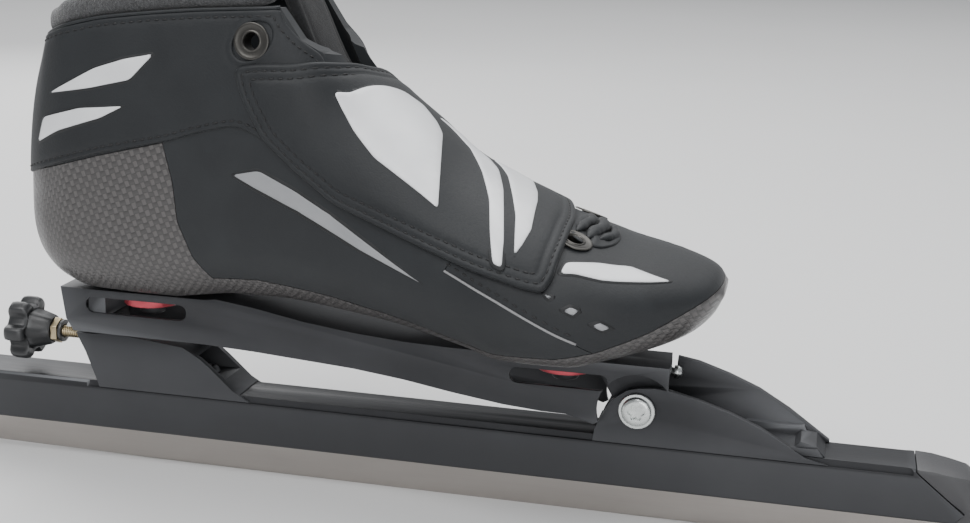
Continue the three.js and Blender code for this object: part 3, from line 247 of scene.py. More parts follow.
def microfibre(name, dark, light, roughness=0.56, grain=1500.0, depth=0.00012):
    """Matte synthetic leather: fine pebbled grain, soft creases, cloudy tone."""
    n = Nodes(name)
    place = n.place()
    voronoi = n.add("ShaderNodeTexVoronoi", {"Vector": place, "Scale": grain}, feature="SMOOTH_F1")
    cells = voronoi.outputs["Distance"]
    fine = n.noise(place, grain * 1.6, 3, 0.6)
    soft = n.noise(place, 42, 4, 0.55, 0.6)
    crease = n.noise(n.stretched(place, (1, 1, 1.6)), 120, 4, 0.6, 1.2)
    tone = n.mix(n.ramp(soft, (0.3, 0.0), (0.72, 1.0)), dark, light)
    tone = n.mix(n.math("MULTIPLY", n.ramp(cells, (0.0, 1.0), (0.55, 0.0)), 0.35), tone, dark)
    rough = n.math("MULTIPLY_ADD", soft, 0.12, roughness - 0.06)
    rough = n.math("MULTIPLY_ADD", cells, 0.1, rough)
    pebble = n.math("MULTIPLY_ADD", cells, 0.7, n.math("MULTIPLY", fine, 0.4))
    wide = n.bump(crease, 0.22, 0.0005)
    return n.done(Base_Color=tone, Roughness=rough, Specular_IOR_Level=0.42, Sheen_Weight=0.05,
                  Sheen_Roughness=0.4,
                  Normal=n.bump(pebble, 0.5, depth, wide))


def inlay_film(name, low, high):
    """Silver-white synthetic film: fine grain and a gentle cloud of tone."""
    n = Nodes(name)
    place = n.place()
    soft = n.noise(place, 55, 3)
    fine = n.noise(place, 1900, 3, 0.6)
    tone = n.mix(soft, low, high)
    rough = n.math("MULTIPLY_ADD", fine, 0.15, 0.36)
    return n.done(Base_Color=tone, Metallic=0.15, Roughness=rough, Coat_Weight=0.1, Coat_Roughness=0.3,
                  Normal=n.bump(fine, 0.25, 0.0001))


def carbon_weave():
    """Coarse carbon cloth under a rubbed clear coat, laid on the UV map, which is in metres. Its colour
    carries painted shade in the grooves between the tows and painted glints along the strands.
    """
    n = Nodes("carbon_weave")
    cloth = n.add("ShaderNodeTexCoord").outputs["UV"]
    place = n.place()
    wobble = n.noise(place, 60, 3)
    parts = n.add("ShaderNodeSeparateXYZ", {"Vector": cloth})
    turned_u = n.math("MULTIPLY_ADD", parts.outputs["X"], 0.94, n.math("MULTIPLY", parts.outputs["Y"], 0.34))
    turned_v = n.math("MULTIPLY_ADD", parts.outputs["Y"], 0.94, n.math("MULTIPLY", parts.outputs["X"], -0.34))
    tow = 1 / 0.0020
    u = n.math("MULTIPLY_ADD", wobble, 0.9, n.math("MULTIPLY", turned_u, tow))
    v = n.math("MULTIPLY_ADD", wobble, 0.7, n.math("MULTIPLY", turned_v, tow))
    # each tow is a rounded ridge, and which of warp and weft lies on top steps diagonally
    warp = n.math("ABSOLUTE", n.math("SINE", n.math("MULTIPLY", u, PI)))
    weft = n.math("ABSOLUTE", n.math("SINE", n.math("MULTIPLY", v, PI)))
    step = n.math("ADD", n.math("FLOOR", u), n.math("FLOOR", v))
    over = n.math("GREATER_THAN", n.math("MODULO", n.math("ADD", step, 4000.0), 2.0), 0.5)
    float_u = n.math("SUBTRACT", 1.0, over)
    ridge = n.math("ADD", n.math("MULTIPLY", warp, over), n.math("MULTIPLY", weft, float_u))
    strand_u = n.noise(n.stretched(cloth, (9000, 500, 1)), 1.0, 2)
    strand_v = n.noise(n.stretched(cloth, (500, 9000, 1)), 1.0, 2)
    strand = n.math("ADD", n.math("MULTIPLY", strand_u, over), n.math("MULTIPLY", strand_v, float_u))
    tone = n.mix(over, (0.030, 0.0285, 0.0285), (0.072, 0.067, 0.066))
    # painted shade: the colour darkens where the tows dip, in the grooves between them
    tone = n.mix(n.ramp(ridge, (0.05, 1.0), (0.6, 0.0)), tone, (0.010, 0.010, 0.0105))
    # painted glints: lighter streaks along the raised strands
    tone = n.mix(n.math("MULTIPLY", strand, 0.45), tone, (0.125, 0.116, 0.113))
    rub = n.ramp(n.noise(place, 70, 4), (0.42, 0.0), (0.7, 1.0))
    rough = n.math("MULTIPLY_ADD", rub, 0.2, n.math("MULTIPLY_ADD", over, 0.12, 0.32))
    height = n.math("MULTIPLY_ADD", ridge, 1.0, n.math("MULTIPLY", strand, 0.25))
    return n.done(Base_Color=tone, Roughness=rough, Metallic=0.2, Coat_Weight=0.35, Coat_Roughness=0.25,
                  Normal=n.bump(height, 0.55, 0.0003))


def pile_fabric(name, dark, light, scale=900.0, depth=0.0008, sheen=0.5):
    """Brushed padding cloth: matted tufts with a soft sheen."""
    n = Nodes(name)
    place = n.place()
    tuft = n.noise(place, scale, 5, 0.7, 0.8)
    clump = n.noise(place, scale / 6, 4, 0.6, 0.4)
    strands = n.noise(n.stretched(place, (1, 1, 3.5)), scale * 1.3, 3, 0.7)
    tone = n.mix(n.ramp(tuft, (0.35, 0.0), (0.68, 1.0)), dark, light)
    tone = n.mix(n.math("MULTIPLY", clump, 0.45), tone, dark)
    finest = n.math("MULTIPLY", strands, 0.3)
    height = n.math("MULTIPLY_ADD", tuft, 0.6, n.math("MULTIPLY_ADD", clump, 0.6, finest))
    rough = n.math("MULTIPLY_ADD", tuft, 0.1, 0.86)
    return n.done(Base_Color=tone, Roughness=rough, Sheen_Weight=sheen, Sheen_Roughness=0.6,
                  Specular_IOR_Level=0.2, Normal=n.bump(height, 0.9, depth))


def moulded(name, dark, light, roughness=0.4):
    n = Nodes(name)
    place = n.place()
    speck = n.noise(place, 1400, 3, 0.6)
    soft = n.noise(place, 60, 3)
    tone = n.mix(soft, dark, light)
    tone = n.mix(n.math("MULTIPLY", n.worn_edge(), 0.4), tone, (0.13, 0.132, 0.135))
    rough = n.math("MULTIPLY_ADD", speck, 0.2, n.math("MULTIPLY_ADD", soft, 0.08, roughness - 0.1))
    return n.done(Base_Color=tone, Roughness=rough, Specular_IOR_Level=0.5, Normal=n.bump(speck, 0.3, 0.0001))


def thread(name, dark, light):
    n = Nodes(name)
    place = n.place()
    twist = n.noise(n.stretched(place, (1, 1.4, 1)), 3200, 2, 0.6)
    tone = n.mix(twist, dark, light)
    return n.done(Base_Color=tone, Roughness=n.math("MULTIPLY_ADD", twist, 0.2, 0.5), Sheen_Weight=0.03,
                  Normal=n.bump(twist, 0.6, 0.0001))


def make_materials():
    return {
        "metal": anodised("black_anodised", (0.030, 0.031, 0.034), (0.046, 0.047, 0.051)),
        # painted shade: the blade tube gets a darker copy of the black anodised, standing in for the shade on
        # its side face, which tilts slightly downwards away from the top light
        "tube": anodised("tube_anodised_painted_shade", (0.022, 0.0225, 0.025), (0.034, 0.035, 0.038), 0.42,
                         grain=(25, 500, 1400)),
        "red": anodised("red_anodised", (0.42, 0.025, 0.045), (0.55, 0.045, 0.07), 0.34, (0.75, 0.3, 0.32)),
        "runner": runner_steel(),
        "zinc": bright_metal("bright_zinc", (0.52, 0.54, 0.53), (0.72, 0.745, 0.735)),
        "brass": bright_metal("yellow_zinc", (0.33, 0.27, 0.17), (0.52, 0.44, 0.29), 0.34),
        "spring": bright_metal("spring_steel", (0.16, 0.16, 0.16), (0.3, 0.3, 0.29), 0.36),
        "eyelet": bright_metal("gunmetal", (0.045, 0.043, 0.040), (0.095, 0.092, 0.086), 0.38, metallic=0.85),
        "rubber": moulded("rubber", (0.012, 0.012, 0.012), (0.022, 0.022, 0.022), 0.7),
        "cap": moulded("cap_plastic", (0.028, 0.028, 0.031), (0.040, 0.040, 0.043), 0.44),
        "knob": moulded("knob_plastic", (0.010, 0.0105, 0.0115), (0.020, 0.021, 0.0225), 0.34),
        "upper": microfibre("microfibre", (0.0070, 0.0083, 0.0100), (0.0120, 0.0140, 0.0162)),
        "side": microfibre("side_microfibre", (0.0085, 0.0100, 0.0118), (0.0140, 0.0162, 0.0185), 0.48, 2100,
                           0.00007),
        "lining": pile_fabric("lining", (0.004, 0.004, 0.0045), (0.018, 0.019, 0.021), 1300, 0.0005, 0.08),
        "lining_smooth": microfibre("inlay_frame", (0.006, 0.0065, 0.0075), (0.012, 0.013, 0.0145), 0.5, 1900,
                                    0.00006),
        "padding": pile_fabric("padding", (0.006, 0.006, 0.007), (0.050, 0.052, 0.056), 700, 0.0012, 0.4),
        "inlay": inlay_film("white_film", (0.62, 0.63, 0.65), (0.80, 0.81, 0.82)),
        "silver": inlay_film("silver_film", (0.22, 0.225, 0.235), (0.33, 0.335, 0.345)),
        "carbon": carbon_weave(),
        "thread": thread("black_thread", (0.0025, 0.0025, 0.003), (0.008, 0.008, 0.009)),
        "edge": thread("edge_paint", (0.16, 0.16, 0.165), (0.30, 0.30, 0.305)),
    }


# ---------------------------------------------------------------- mesh helpers
def new_object(name, points, faces, material, smooth=True):
    mesh = bpy.data.meshes.new(name)
    mesh.from_pydata((np.asarray(points, float) * MM).tolist(), [], [tuple(int(i) for i in f) for f in faces])
    mesh.validate()
    if smooth:
        mesh.polygons.foreach_set("use_smooth", [True] * len(mesh.polygons))
    mesh.update()
    obj = bpy.data.objects.new(name, mesh)
    bpy.context.scene.collection.objects.link(obj)
    if material is not None:
        mesh.materials.append(material)
    return obj


def put_uv(mesh, uv):
    layer = mesh.uv_layers.new(name="cloth")
    corners = np.zeros(len(mesh.loops), int)
    mesh.loops.foreach_get("vertex_index", corners)
    layer.data.foreach_set("uv", np.asarray(uv, float)[corners].ravel())


def face_outwards(obj):
    bm = bmesh.new()
    bm.from_mesh(obj.data)
    bmesh.ops.recalc_face_normals(bm, faces=bm.faces)
    bm.to_mesh(obj.data)
    bm.free()


def baked(obj, modifiers=()):
    """Applies modifiers given as (type, settings) and leaves a plain mesh."""
    for kind, settings in modifiers:
        modifier = obj.modifiers.new(kind.lower(), kind)
        for key, value in settings.items():
            setattr(modifier, key, value)
    graph = bpy.context.evaluated_depsgraph_get()
    graph.update()
    mesh = bpy.data.meshes.new_from_object(obj.evaluated_get(graph))
    obj.modifiers.clear()
    obj.data = mesh
    return obj


def remove(*objects):
    for obj in objects:
        bpy.data.objects.remove(obj)


def carve(obj, *steps):
    """Boolean steps, each (operation, cutter); the cutters are removed."""
    for operation, cutter in steps:
        baked(obj, [("BOOLEAN", {"operation": operation, "object": cutter, "solver": "MANIFOLD"})])
    remove(*{cutter for _, cutter in steps})
    return obj


def prism(outline, low, high, upright=False):
    """An outline in X and Z between two Y values; upright, one in X and Y between two heights."""
    count = len(outline)
    points = [(a, b, level) if upright else (a, level, b) for level in (low, high) for a, b in outline]
    faces = [tuple(range(count)), tuple(reversed(range(count, 2 * count)))]
    faces += [(i, (i + 1) % count, count + (i + 1) % count, count + i) for i in range(count)]
    obj = new_object("cutter", points, faces, None, smooth=False)
    face_outwards(obj)
    return obj


def smooth_by_angle(obj, degrees):
    mesh = obj.data
    mesh.polygons.foreach_set("use_smooth", [True] * len(mesh.polygons))
    bm = bmesh.new()
    bm.from_mesh(mesh)
    limit = math.radians(degrees)
    for edge in bm.edges:
        if len(edge.link_faces) == 2:
            edge.smooth = edge.calc_face_angle(0) < limit
    bm.to_mesh(mesh)
    bm.free()


def tube(name, rows, material, angle=None, joined=False):
    """A body from rings of points, capped at both ends, or joined from its last ring to its first."""
    count, sides = len(rows), len(rows[0])
    faces = []
    for r in range(count if joined else count - 1):
        for c in range(sides):
            after, below = (c + 1) % sides, ((r + 1) % count) * sides
            faces.append((r * sides + c, r * sides + after, below + after, below + c))
    if not joined:
        faces += [tuple(reversed(range(sides))), tuple(range((count - 1) * sides, count * sides))]
    obj = new_object(name, np.array(rows, float).reshape(-1, 3), faces, material)
    face_outwards(obj)
    if angle:
        smooth_by_angle(obj, angle)
    return obj


def lathe(name, profile, sides, centre, axis, material, joined=True):
    """A profile of [radius, height] pairs turned about an axis through a centre."""
    turn = Vector((0, 0, 1)).rotation_difference(Vector(axis)).to_matrix()
    angles = [2 * PI * k / sides for k in range(sides)]
    rows = [[turn @ Vector((r * math.cos(a), r * math.sin(a), h)) + Vector(centre) for a in angles]
            for r, h in profile]
    return tube(name, rows, material, 40, joined)


def sweep(name, path, normals, section, material):
    """A body along a path. Its section is [across, out] pairs, or a function of the share of the path
    that gives them; normals say which way is out."""
    path, normals = np.asarray(path, float), np.asarray(normals, float)
    ahead = np.gradient(path, axis=0)
    ahead /= np.linalg.norm(ahead, axis=1)[:, None]
    normals = normals - ahead * (normals * ahead).sum(1)[:, None]
    normals /= np.linalg.norm(normals, axis=1)[:, None]
    across = np.cross(ahead, normals)
    rows = []
    for i in range(len(path)):
        shape = section(i / (len(path) - 1)) if callable(section) else section
        rows.append([path[i] + across[i] * a + normals[i] * o for a, o in shape])
    return tube(name, rows, material)


def circle_section(radius, sides=10, flat=1.0):
    angles = [2 * PI * k / sides for k in range(sides)]
    return [(radius * math.cos(a), flat * radius * math.sin(a)) for a in angles]


# ---------------------------------------------------------------- the boot's surface
HEEL_SEAT = 71.3
BALL_SEAT = 62.1
HEEL_X = -157.0
TOE_X = 105.5
LEAST_RISE = 0.6


def curve(pairs):
    """A smooth curve through a few (x, value) pairs, level beyond its ends."""
    xs = np.array([p[0] for p in pairs], float)
    vs = np.array([p[1] for p in pairs], float)
    slopes = np.diff(vs) / np.diff(xs)
    tangents = np.zeros(len(xs))
    tangents[0], tangents[-1] = slopes[0], slopes[-1]
    for i in range(1, len(xs) - 1):
        before, after = slopes[i - 1], slopes[i]
        tangents[i] = 0 if before * after <= 0 else 2 * before * after / (before + after)

    def at(x):
        x = np.clip(np.asarray(x, float), xs[0], xs[-1])
        i = np.clip(np.searchsorted(xs, x, "right") - 1, 0, len(xs) - 2)
        w = xs[i + 1] - xs[i]
        t = (x - xs[i]) / w
        return (vs[i] * (1 + 2 * t) * (1 - t) ** 2 + tangents[i] * w * t * (1 - t) ** 2
                + vs[i + 1] * t * t * (3 - 2 * t) + tangents[i + 1] * w * t * t * (t - 1))
    return at


def above_heel_seat(pairs):
    return [(x, HEEL_SEAT + rise) for x, rise in pairs]


sole_line = curve(above_heel_seat([
    (HEEL_X, 28), (HEEL_X + 2, 17), (HEEL_X + 8, 8), (HEEL_X + 18, 2.4), (HEEL_X + 29, 0),
    (HEEL_X + 60, 0), (-86, 1.2), (-72, 2.6), (-56, 2.6), (-28, 0.2), (2, -3.6), (20, -6.6),
    (32, BALL_SEAT - HEEL_SEAT), (56, BALL_SEAT - HEEL_SEAT), (68, -6.2), (82, -2.2), (95, 2.6),
    (TOE_X - 3, 9), (TOE_X, 15)]))
top_line = curve(above_heel_seat([
    (HEEL_X, 34.7), (HEEL_X + 1, 49.7), (HEEL_X + 3, 68.7), (HEEL_X + 6, 83.7), (HEEL_X + 11, 97.7),
    (HEEL_X + 17, 116.7), (HEEL_X + 28, 134.7), (-56, 134.7), (-44, 118.7), (-30, 92.5), (-14.7, 78.3),
    (-3.3, 69.5), (11.8, 57.2), (23, 51.2), (35.9, 45.5), (49.6, 39.5), (60, 35.8), (70, 32.3),
    (84, 29.3), (95, 26.3), (TOE_X - 3, 23), (TOE_X, 18.5)]))
half_width = curve([
    (HEEL_X, 5), (HEEL_X + 1, 9), (HEEL_X + 3, 13.5), (HEEL_X + 8, 20), (HEEL_X + 15, 25.2),
    (HEEL_X + 26, 29.5),
    (-110, 32.5), (-80, 33), (-45, 34.5), (-12, 39), (15, 44), (38, 47.5), (52, 47.5), (66, 45), (80, 39.5),
    (92, 31), (TOE_X - 5, 22), (TOE_X, 11)])
middle_line = curve([(HEEL_X, 0), (-60, 0), (20, -1.5), (60, 0.5), (TOE_X, 6)])
widest_line = curve(above_heel_seat([
    (HEEL_X, 30.7), (-140, 28.7), (-100, 25.7), (-60, 26.7), (-20, 22.7), (20, 17.7), (50, 14.7), (80, 15.2),
    (TOE_X, 16.7)]))
roundness = curve([(HEEL_X, 2.3), (-130, 3), (-60, 3.5), (-20, 2.4), (20, 2.15), (60, 2.2), (TOE_X, 2)])
sole_roundness = curve([(HEEL_X, 2.2), (-130, 2.7), (-95, 2.8), (-70, 2.4), (-10, 2.2), (20, 2.6), (50, 3),
                        (80, 3),
                        (TOE_X, 2.4)])


def boot_point(x, angle, offset=0.0):
    """A point of the boot's surface: angle 0 is the inner side, 90 degrees the top, 180 the outer side."""
    x, angle = np.broadcast_arrays(np.asarray(x, float), np.asarray(angle, float))
    share = (x - HEEL_X) / (TOE_X - HEEL_X)
    slope = (top_line(x + 1) - top_line(x - 1)) / 2
    spread = np.minimum(np.hypot(1, slope), 2)
    upper = np.sin(angle) >= -1e-12
    power = 2 / np.where(upper, roundness(x), sole_roundness(x))
    c, s = np.cos(angle), np.sin(angle)
    across = np.sign(c) * np.abs(c) ** power
    along = np.sign(s) * np.abs(s) ** power
    widest = widest_line(x)
    rise = np.maximum(np.where(upper, top_line(x) - widest + offset * spread, widest - sole_line(x) + offset),
                      LEAST_RISE)
    return np.stack([x + offset * (2 * share - 1), middle_line(x) + (half_width(x) + offset) * across,
                     widest + rise * along], -1)


def loft(offset, sides=144):
    """The closed body of the boot, grown by an offset."""
    share = np.linspace(0, 1, 150)
    eased = 0.72 * share + 0.28 * (0.5 - 0.5 * np.cos(PI * share))
    xs = HEEL_X + (TOE_X - HEEL_X) * eased
    near_ends = [HEEL_X + np.array([0.4, 1.0, 1.8]), TOE_X - np.array([0.3, 0.8, 1.5])]
    xs = np.unique(np.concatenate([xs, *near_ends]))
    angles = 2 * PI * np.arange(sides) / sides
    return tube("loft", boot_point(xs[:, None], angles[None, :], offset), None)


class Chart:
    """A map of the boot's surface: a table of points by row, 1 mm apart, and by arc, 0.5 mm apart."""

    def __init__(self, rows, arcs):
        self.rows = np.arange(rows[0], rows[1] + 0.01, 1.0)
        self.arcs = np.arange(arcs[0], arcs[1] + 0.01, 0.5)
        self.table = np.zeros((len(self.rows), len(self.arcs), 3))

    def point(self, row, arc):
        a = np.clip(np.asarray(row, float) - self.rows[0], 0, len(self.rows) - 1.001)
        b = np.clip((np.asarray(arc, float) - self.arcs[0]) / 0.5, 0, len(self.arcs) - 1.001)
        return bilinear(self.table, a, b)

    def nearest(self, row):
        return int(round(np.clip(row - self.rows[0], 0, len(self.rows) - 1)))


def run_along(*coordinates):
    """The length of a line up to each of its points."""
    steps = np.sqrt(sum(np.diff(c) ** 2 for c in coordinates))
    return np.concatenate([[0], np.cumsum(steps)])


class Arch(Chart):
    """Rows along x, arcs from the top's middle: inner side positive, outer side negative."""

    def __init__(self, x0, x1):
        super().__init__((x0, x1), (-150, 150))
        fine = np.linspace(0, PI, 1201)
        for i, x in enumerate(self.rows):
            for side in (1, -1):
                p = boot_point(x, PI / 2 - side * fine)
                run = run_along(*p.T)
                half = self.arcs * side >= 0
                self.table[i, half] = np.stack([np.interp(np.abs(self.arcs[half]), run, c) for c in p.T], -1)


class Wrap(Chart):
    """Rows up z, arcs along the level from the heel's back line: inner side positive, outer negative."""

    def __init__(self, z0, z1):
        super().__init__((z0, z1), (-290, 290))
        self.runs = {}
        fine = np.linspace(0, 1, 900)
        for i, z in enumerate(self.rows):
            back, front = self.ends(z)
            xs = back + (front - back) * np.where(fine < 0.5, 2 * fine ** 2, 1 - 2 * (1 - fine) ** 2)
            widest = widest_line(xs)
            upper = z > widest
            rise = np.where(upper, top_line(xs) - widest, widest - sole_line(xs))
            rise = np.maximum(rise, LEAST_RISE) + 1e-9
            power = np.where(upper, roundness(xs), sole_roundness(xs))
            reach = np.clip(1 - (np.abs(z - widest) / rise) ** power, 0, 1) ** (1 / power)
            for side in (1, -1):
                line_x, line_y = xs, middle_line(xs) + side * half_width(xs) * reach
                if reach[0] > 0.05:  # the heel's flat back
                    line_x, line_y = np.append(xs[0], line_x), np.append(0, line_y)
                run = run_along(line_x, line_y)
                half = self.arcs * side >= 0
                size = np.abs(self.arcs[half])
                self.table[i, half] = np.stack(
                    [np.interp(size, run, line_x), np.interp(size, run, line_y), np.full(len(size), z)], -1)
                self.runs[i, side] = (line_x, run)

    @staticmethod
    def ends(z):
        """Where a level enters and first leaves the boot."""
        xs = np.linspace(HEEL_X, TOE_X, 5341)
        within = (top_line(xs) >= z) & (sole_line(xs) <= z)
        first = int(np.argmax(within))
        after = np.nonzero(~within[first:])[0]
        last = first + after[0] - 1 if len(after) else len(xs) - 1
        return xs[first], xs[last]

    def point(self, arc, z):
        return super().point(z, arc)

    def arc_at(self, x, z, side):
        xs, run = self.runs[self.nearest(z), side]
        return side * float(np.interp(x, xs, run))

    def outline(self, pairs, side):
        return [(self.arc_at(x, z, side), z) for x, z in pairs]


class Over(Chart):
    """Rows along x, arcs from the outer side's widest line up over the top."""

    def __init__(self, x0, x1):
        super().__init__((x0, x1), (-40, 240))
        angles = np.linspace(1.4 * PI, -0.4 * PI, 3601)
        for i, x in enumerate(self.rows):
            p = boot_point(x, angles)
            run = run_along(*p.T)
            run -= np.interp(-PI, -angles, run)
            self.table[i] = np.stack([np.interp(self.arcs, run, c) for c in p.T], -1)

    def arc_across(self, x, y):
        """The arc of the upper surface at a place across the boot."""
        row = self.table[self.nearest(x)]
        keep = row[:, 2] > widest_line(x)
        return float(np.interp(y, row[keep, 1], self.arcs[keep]))


def bilinear(table, a, b):
    i, j = np.floor(a).astype(int), np.floor(b).astype(int)
    s, t = (a - i)[..., None], (b - j)[..., None]
    return (table[i, j] * (1 - s) * (1 - t) + table[i + 1, j] * s * (1 - t)
            + table[i, j + 1] * (1 - s) * t + table[i + 1, j + 1] * s * t)


def surface(chart, u, v, height):
    """Points of a chart raised along the surface's normal, and the normals."""
    u, v = np.asarray(u, float), np.asarray(v, float)
    step = 1.2  # long enough to smooth the table's facets
    du = chart.point(u + step, v) - chart.point(u - step, v)
    dv = chart.point(u, v + step) - chart.point(u, v - step)
    normal = np.cross(du, dv)
    size = np.linalg.norm(normal, axis=-1, keepdims=True)
    normal = normal / np.maximum(size, 1e-9)
    point = chart.point(u, v)
    middle = np.stack([point[..., 0] * 0.96 - 2, 0 * point[..., 1], np.clip(point[..., 2], 88, 100)], -1)
    flip = np.sign(((point - middle) * normal).sum(-1, keepdims=True))
    normal = normal * np.where(flip == 0, 1, flip)
    return point + normal * np.asarray(height, float)[..., None], normal


# ---------------------------------------------------------------- panels laid on a chart
def rounded(outline, radius=1.0, step=0.9):
    """An outline with eased corners and points at an even step."""
    count = len(outline)
    points = []
    for i in range(count):
        p, before, after = (np.array(outline[j % count], float) for j in (i, i - 1, i + 1))
        a, b = before - p, after - p
        la, lb = np.linalg.norm(a), np.linalg.norm(b)
        cut = min(radius, 0.4 * la, 0.4 * lb)
        start, end = p + a / la * cut, p + b / lb * cut
        for t in np.linspace(0, 1, 5):
            points.append((1 - t) ** 2 * start + 2 * t * (1 - t) * p + t * t * end)
    return even(np.array(points), step)


def even(points, step, closed=True):
    ring = np.vstack([points, points[:1]]) if closed else np.asarray(points, float)
    run = np.concatenate([[0], np.cumsum(np.linalg.norm(np.diff(ring, axis=0), axis=1))])
    count = max(int(round(run[-1] / step)), 6)
    want = np.linspace(0, run[-1], count, endpoint=False) if closed else np.linspace(0, run[-1], count + 1)
    return np.stack([np.interp(want, run, ring[:, k]) for k in range(2)], -1)


def spline(points, step):
    """A smooth open line through a few points, at an even step."""
    p = np.array(points, float)
    ends = np.vstack([2 * p[:1] - p[1:2], p, 2 * p[-1:] - p[-2:-1]])
    out = []
    for i in range(len(p) - 1):
        a, b, c, d = ends[i:i + 4]
        for t in np.linspace(0, 1, 14, endpoint=False):
            out.append(0.5 * (2 * b + (c - a) * t + (2 * a - 5 * b + 4 * c - d) * t * t
                              + (3 * b - a - 3 * c + d) * t ** 3))
    return even(np.array(out + [p[-1]]), step, closed=False)


def distance_to(points, *rings):
    """Distance from each point to the nearest of some closed lines."""
    best = np.full(len(points), 1e9)
    for a in rings:
        d = np.roll(a, -1, 0) - a
        for start in range(0, len(points), 4000):  # in batches, to keep the arrays small
            off = points[start:start + 4000, None, :] - a
            t = np.clip((off * d).sum(-1) / np.maximum((d * d).sum(-1), 1e-12), 0, 1)
            near = np.linalg.norm(off - t[..., None] * d, axis=-1).min(1)
            best[start:start + 4000] = np.minimum(best[start:start + 4000], near)
    return best


def sideways(ring, reach):
    """Unit normals of a closed line, from the points a few steps before and after each."""
    ahead = np.roll(ring, -reach, 0) - np.roll(ring, reach, 0)
    normal = np.stack([-ahead[:, 1], ahead[:, 0]], -1)
    return normal / np.maximum(np.linalg.norm(normal, axis=1), 1e-9)[:, None]


def inside(points, ring):
    """Which points lie in a closed line."""
    x, y = points[:, 0], points[:, 1]
    hit = np.zeros(len(points), bool)
    for (x0, y0), (x1, y1) in zip(ring, np.roll(ring, -1, 0)):
        if y0 == y1:
            continue
        crossing = ((y0 > y) != (y1 > y)) & (x < (x1 - x0) * (y - y0) / (y1 - y0) + x0)
        hit ^= crossing
    return hit


def fill(ring, spacing, rims, holes=()):
    """Triangles over an outline, with rows of points just inside its edges."""
    loops = [np.asarray(loop, float) for loop in (ring, *holes)]
    low, high = loops[0].min(0), loops[0].max(0)
    points = []
    for i, y in enumerate(np.arange(low[1], high[1] + spacing, spacing * 0.866)):
        xs = np.arange(low[0] + (i % 2) * spacing / 2, high[0] + spacing, spacing)
        points.append(np.stack([xs, np.full(len(xs), y)], -1))
    points = np.concatenate(points)
    points = points[inside(points, loops[0])]
    far = distance_to(points, *loops)
    for hole in loops[1:]:
        far[inside(points, hole)] = -1
    points = [points[far > max(rims) + 0.55 * spacing]]
    for k, loop in enumerate(loops):
        normal = sideways(loop, 1)
        for rim in rims:
            for sign in (1, -1):
                row = loop + normal * rim * sign
                ok = inside(row, loops[0])
                if k:
                    ok &= ~inside(row, loop)
                points.append(row[ok & (distance_to(row, *loops) > rim * 0.92)])
    edges, start = [], 0
    for loop in loops:
        edges += [(start + i, start + (i + 1) % len(loop)) for i in range(len(loop))]
        start += len(loop)
    everything = np.vstack(loops + points)
    coords, _, faces, *_ = delaunay_2d_cdt([Vector(p) for p in everything.tolist()], edges, [], 0, 1e-5)
    coords = np.array([tuple(c) for c in coords])
    faces = np.array([f for f in faces if len(f) == 3])
    centre = coords[faces].mean(1)
    keep = inside(centre, loops[0])
    for hole in loops[1:]:
        keep &= ~inside(centre, hole)
    return coords, faces[keep], distance_to(coords, *loops)


def ease(t):
    t = np.clip(t, 0, 1)
    return t * t * (3 - 2 * t)


def edge_round(distance, roll):
    t = np.clip(distance / roll, 0, 1)
    return np.sqrt(np.clip(1 - (1 - t) ** 2, 0, 1))


def panel(name, chart, ring, material, thick, *, roll, spacing, rims, base=0.0, shape=None, lay=None,
          holes=()):
    """A closed thin piece over an outline on a chart, its edge rounded over a roll.

    shape(points, distance) adds to its height, and lay(points, distance) gives the height of its underside.
    """
    coords, faces, distance = fill(ring, spacing, rims, holes)
    below = np.full(len(coords), float(base)) if lay is None else lay(coords, distance)
    above = below + thick * edge_round(distance, roll)
    if shape is not None:
        above = above + shape(coords, distance) * ease(distance / (roll * 0.8))
    rim = distance < 1e-4
    above = np.where(rim, below, np.maximum(above, below + 0.01))
    top, _ = surface(chart, coords[:, 0], coords[:, 1], above)
    bottom, _ = surface(chart, coords[:, 0], coords[:, 1], below)
    inner = np.nonzero(~rim)[0]
    under = np.arange(len(coords))
    under[inner] = len(coords) + np.arange(len(inner))
    triangles = [tuple(f) for f in faces] + [tuple(under[f][::-1]) for f in faces]
    obj = new_object(name, np.vstack([top, bottom[inner]]), triangles, material)
    face_outwards(obj)
    return obj


STITCH_PITCH, STITCH_LENGTH, THREAD_RADIUS = 3.1, 2.2, 0.33
# place along half a stitch, and the thread's size and rise there in thread radii
STITCH_RINGS = ((-1.0, 0.35, -0.75), (-0.55, 0.92, 0.1), (0.0, 1.0, 0.3), (0.55, 0.92, 0.1),
                (1.0, 0.35, -0.75))


def stitches(name, chart, line, height, material, closed=False):
    """Short rounded stitches of thread along a line on a chart."""
    line = even(np.asarray(line, float), STITCH_PITCH, closed)
    points, faces = [], []
    sides, rings = 6, len(STITCH_RINGS)
    for i in range(len(line) if closed else len(line) - 1):
        a, b = line[i], line[(i + 1) % len(line)]
        half = (b - a) * 0.5 * STITCH_LENGTH / max(np.linalg.norm(b - a), 1e-6)
        track = np.array([(a + b) / 2 + half * t for t, _, _ in STITCH_RINGS])
        place, out = surface(chart, track[:, 0], track[:, 1], np.full(rings, height))
        across = np.cross(place[-1] - place[0], out[2])
        across /= max(np.linalg.norm(across), 1e-9)
        base = len(points)
        for j, (_, size, rise) in enumerate(STITCH_RINGS):
            for k in range(sides):
                angle = 2 * PI * k / sides
                points.append(place[j] + THREAD_RADIUS * (across * size * math.cos(angle)
                                                          + out[j] * (rise + size * math.sin(angle))))
        for j in range(rings - 1):
            for k in range(sides):
                p, q = base + j * sides + k, base + j * sides + (k + 1) % sides
                faces.append((p, q, q + sides, p + sides))
        faces.append(tuple(base + k for k in reversed(range(sides))))
        faces.append(tuple(base + (rings - 1) * sides + k for k in range(sides)))
    obj = new_object(name, points, faces, material)
    face_outwards(obj)
    return obj


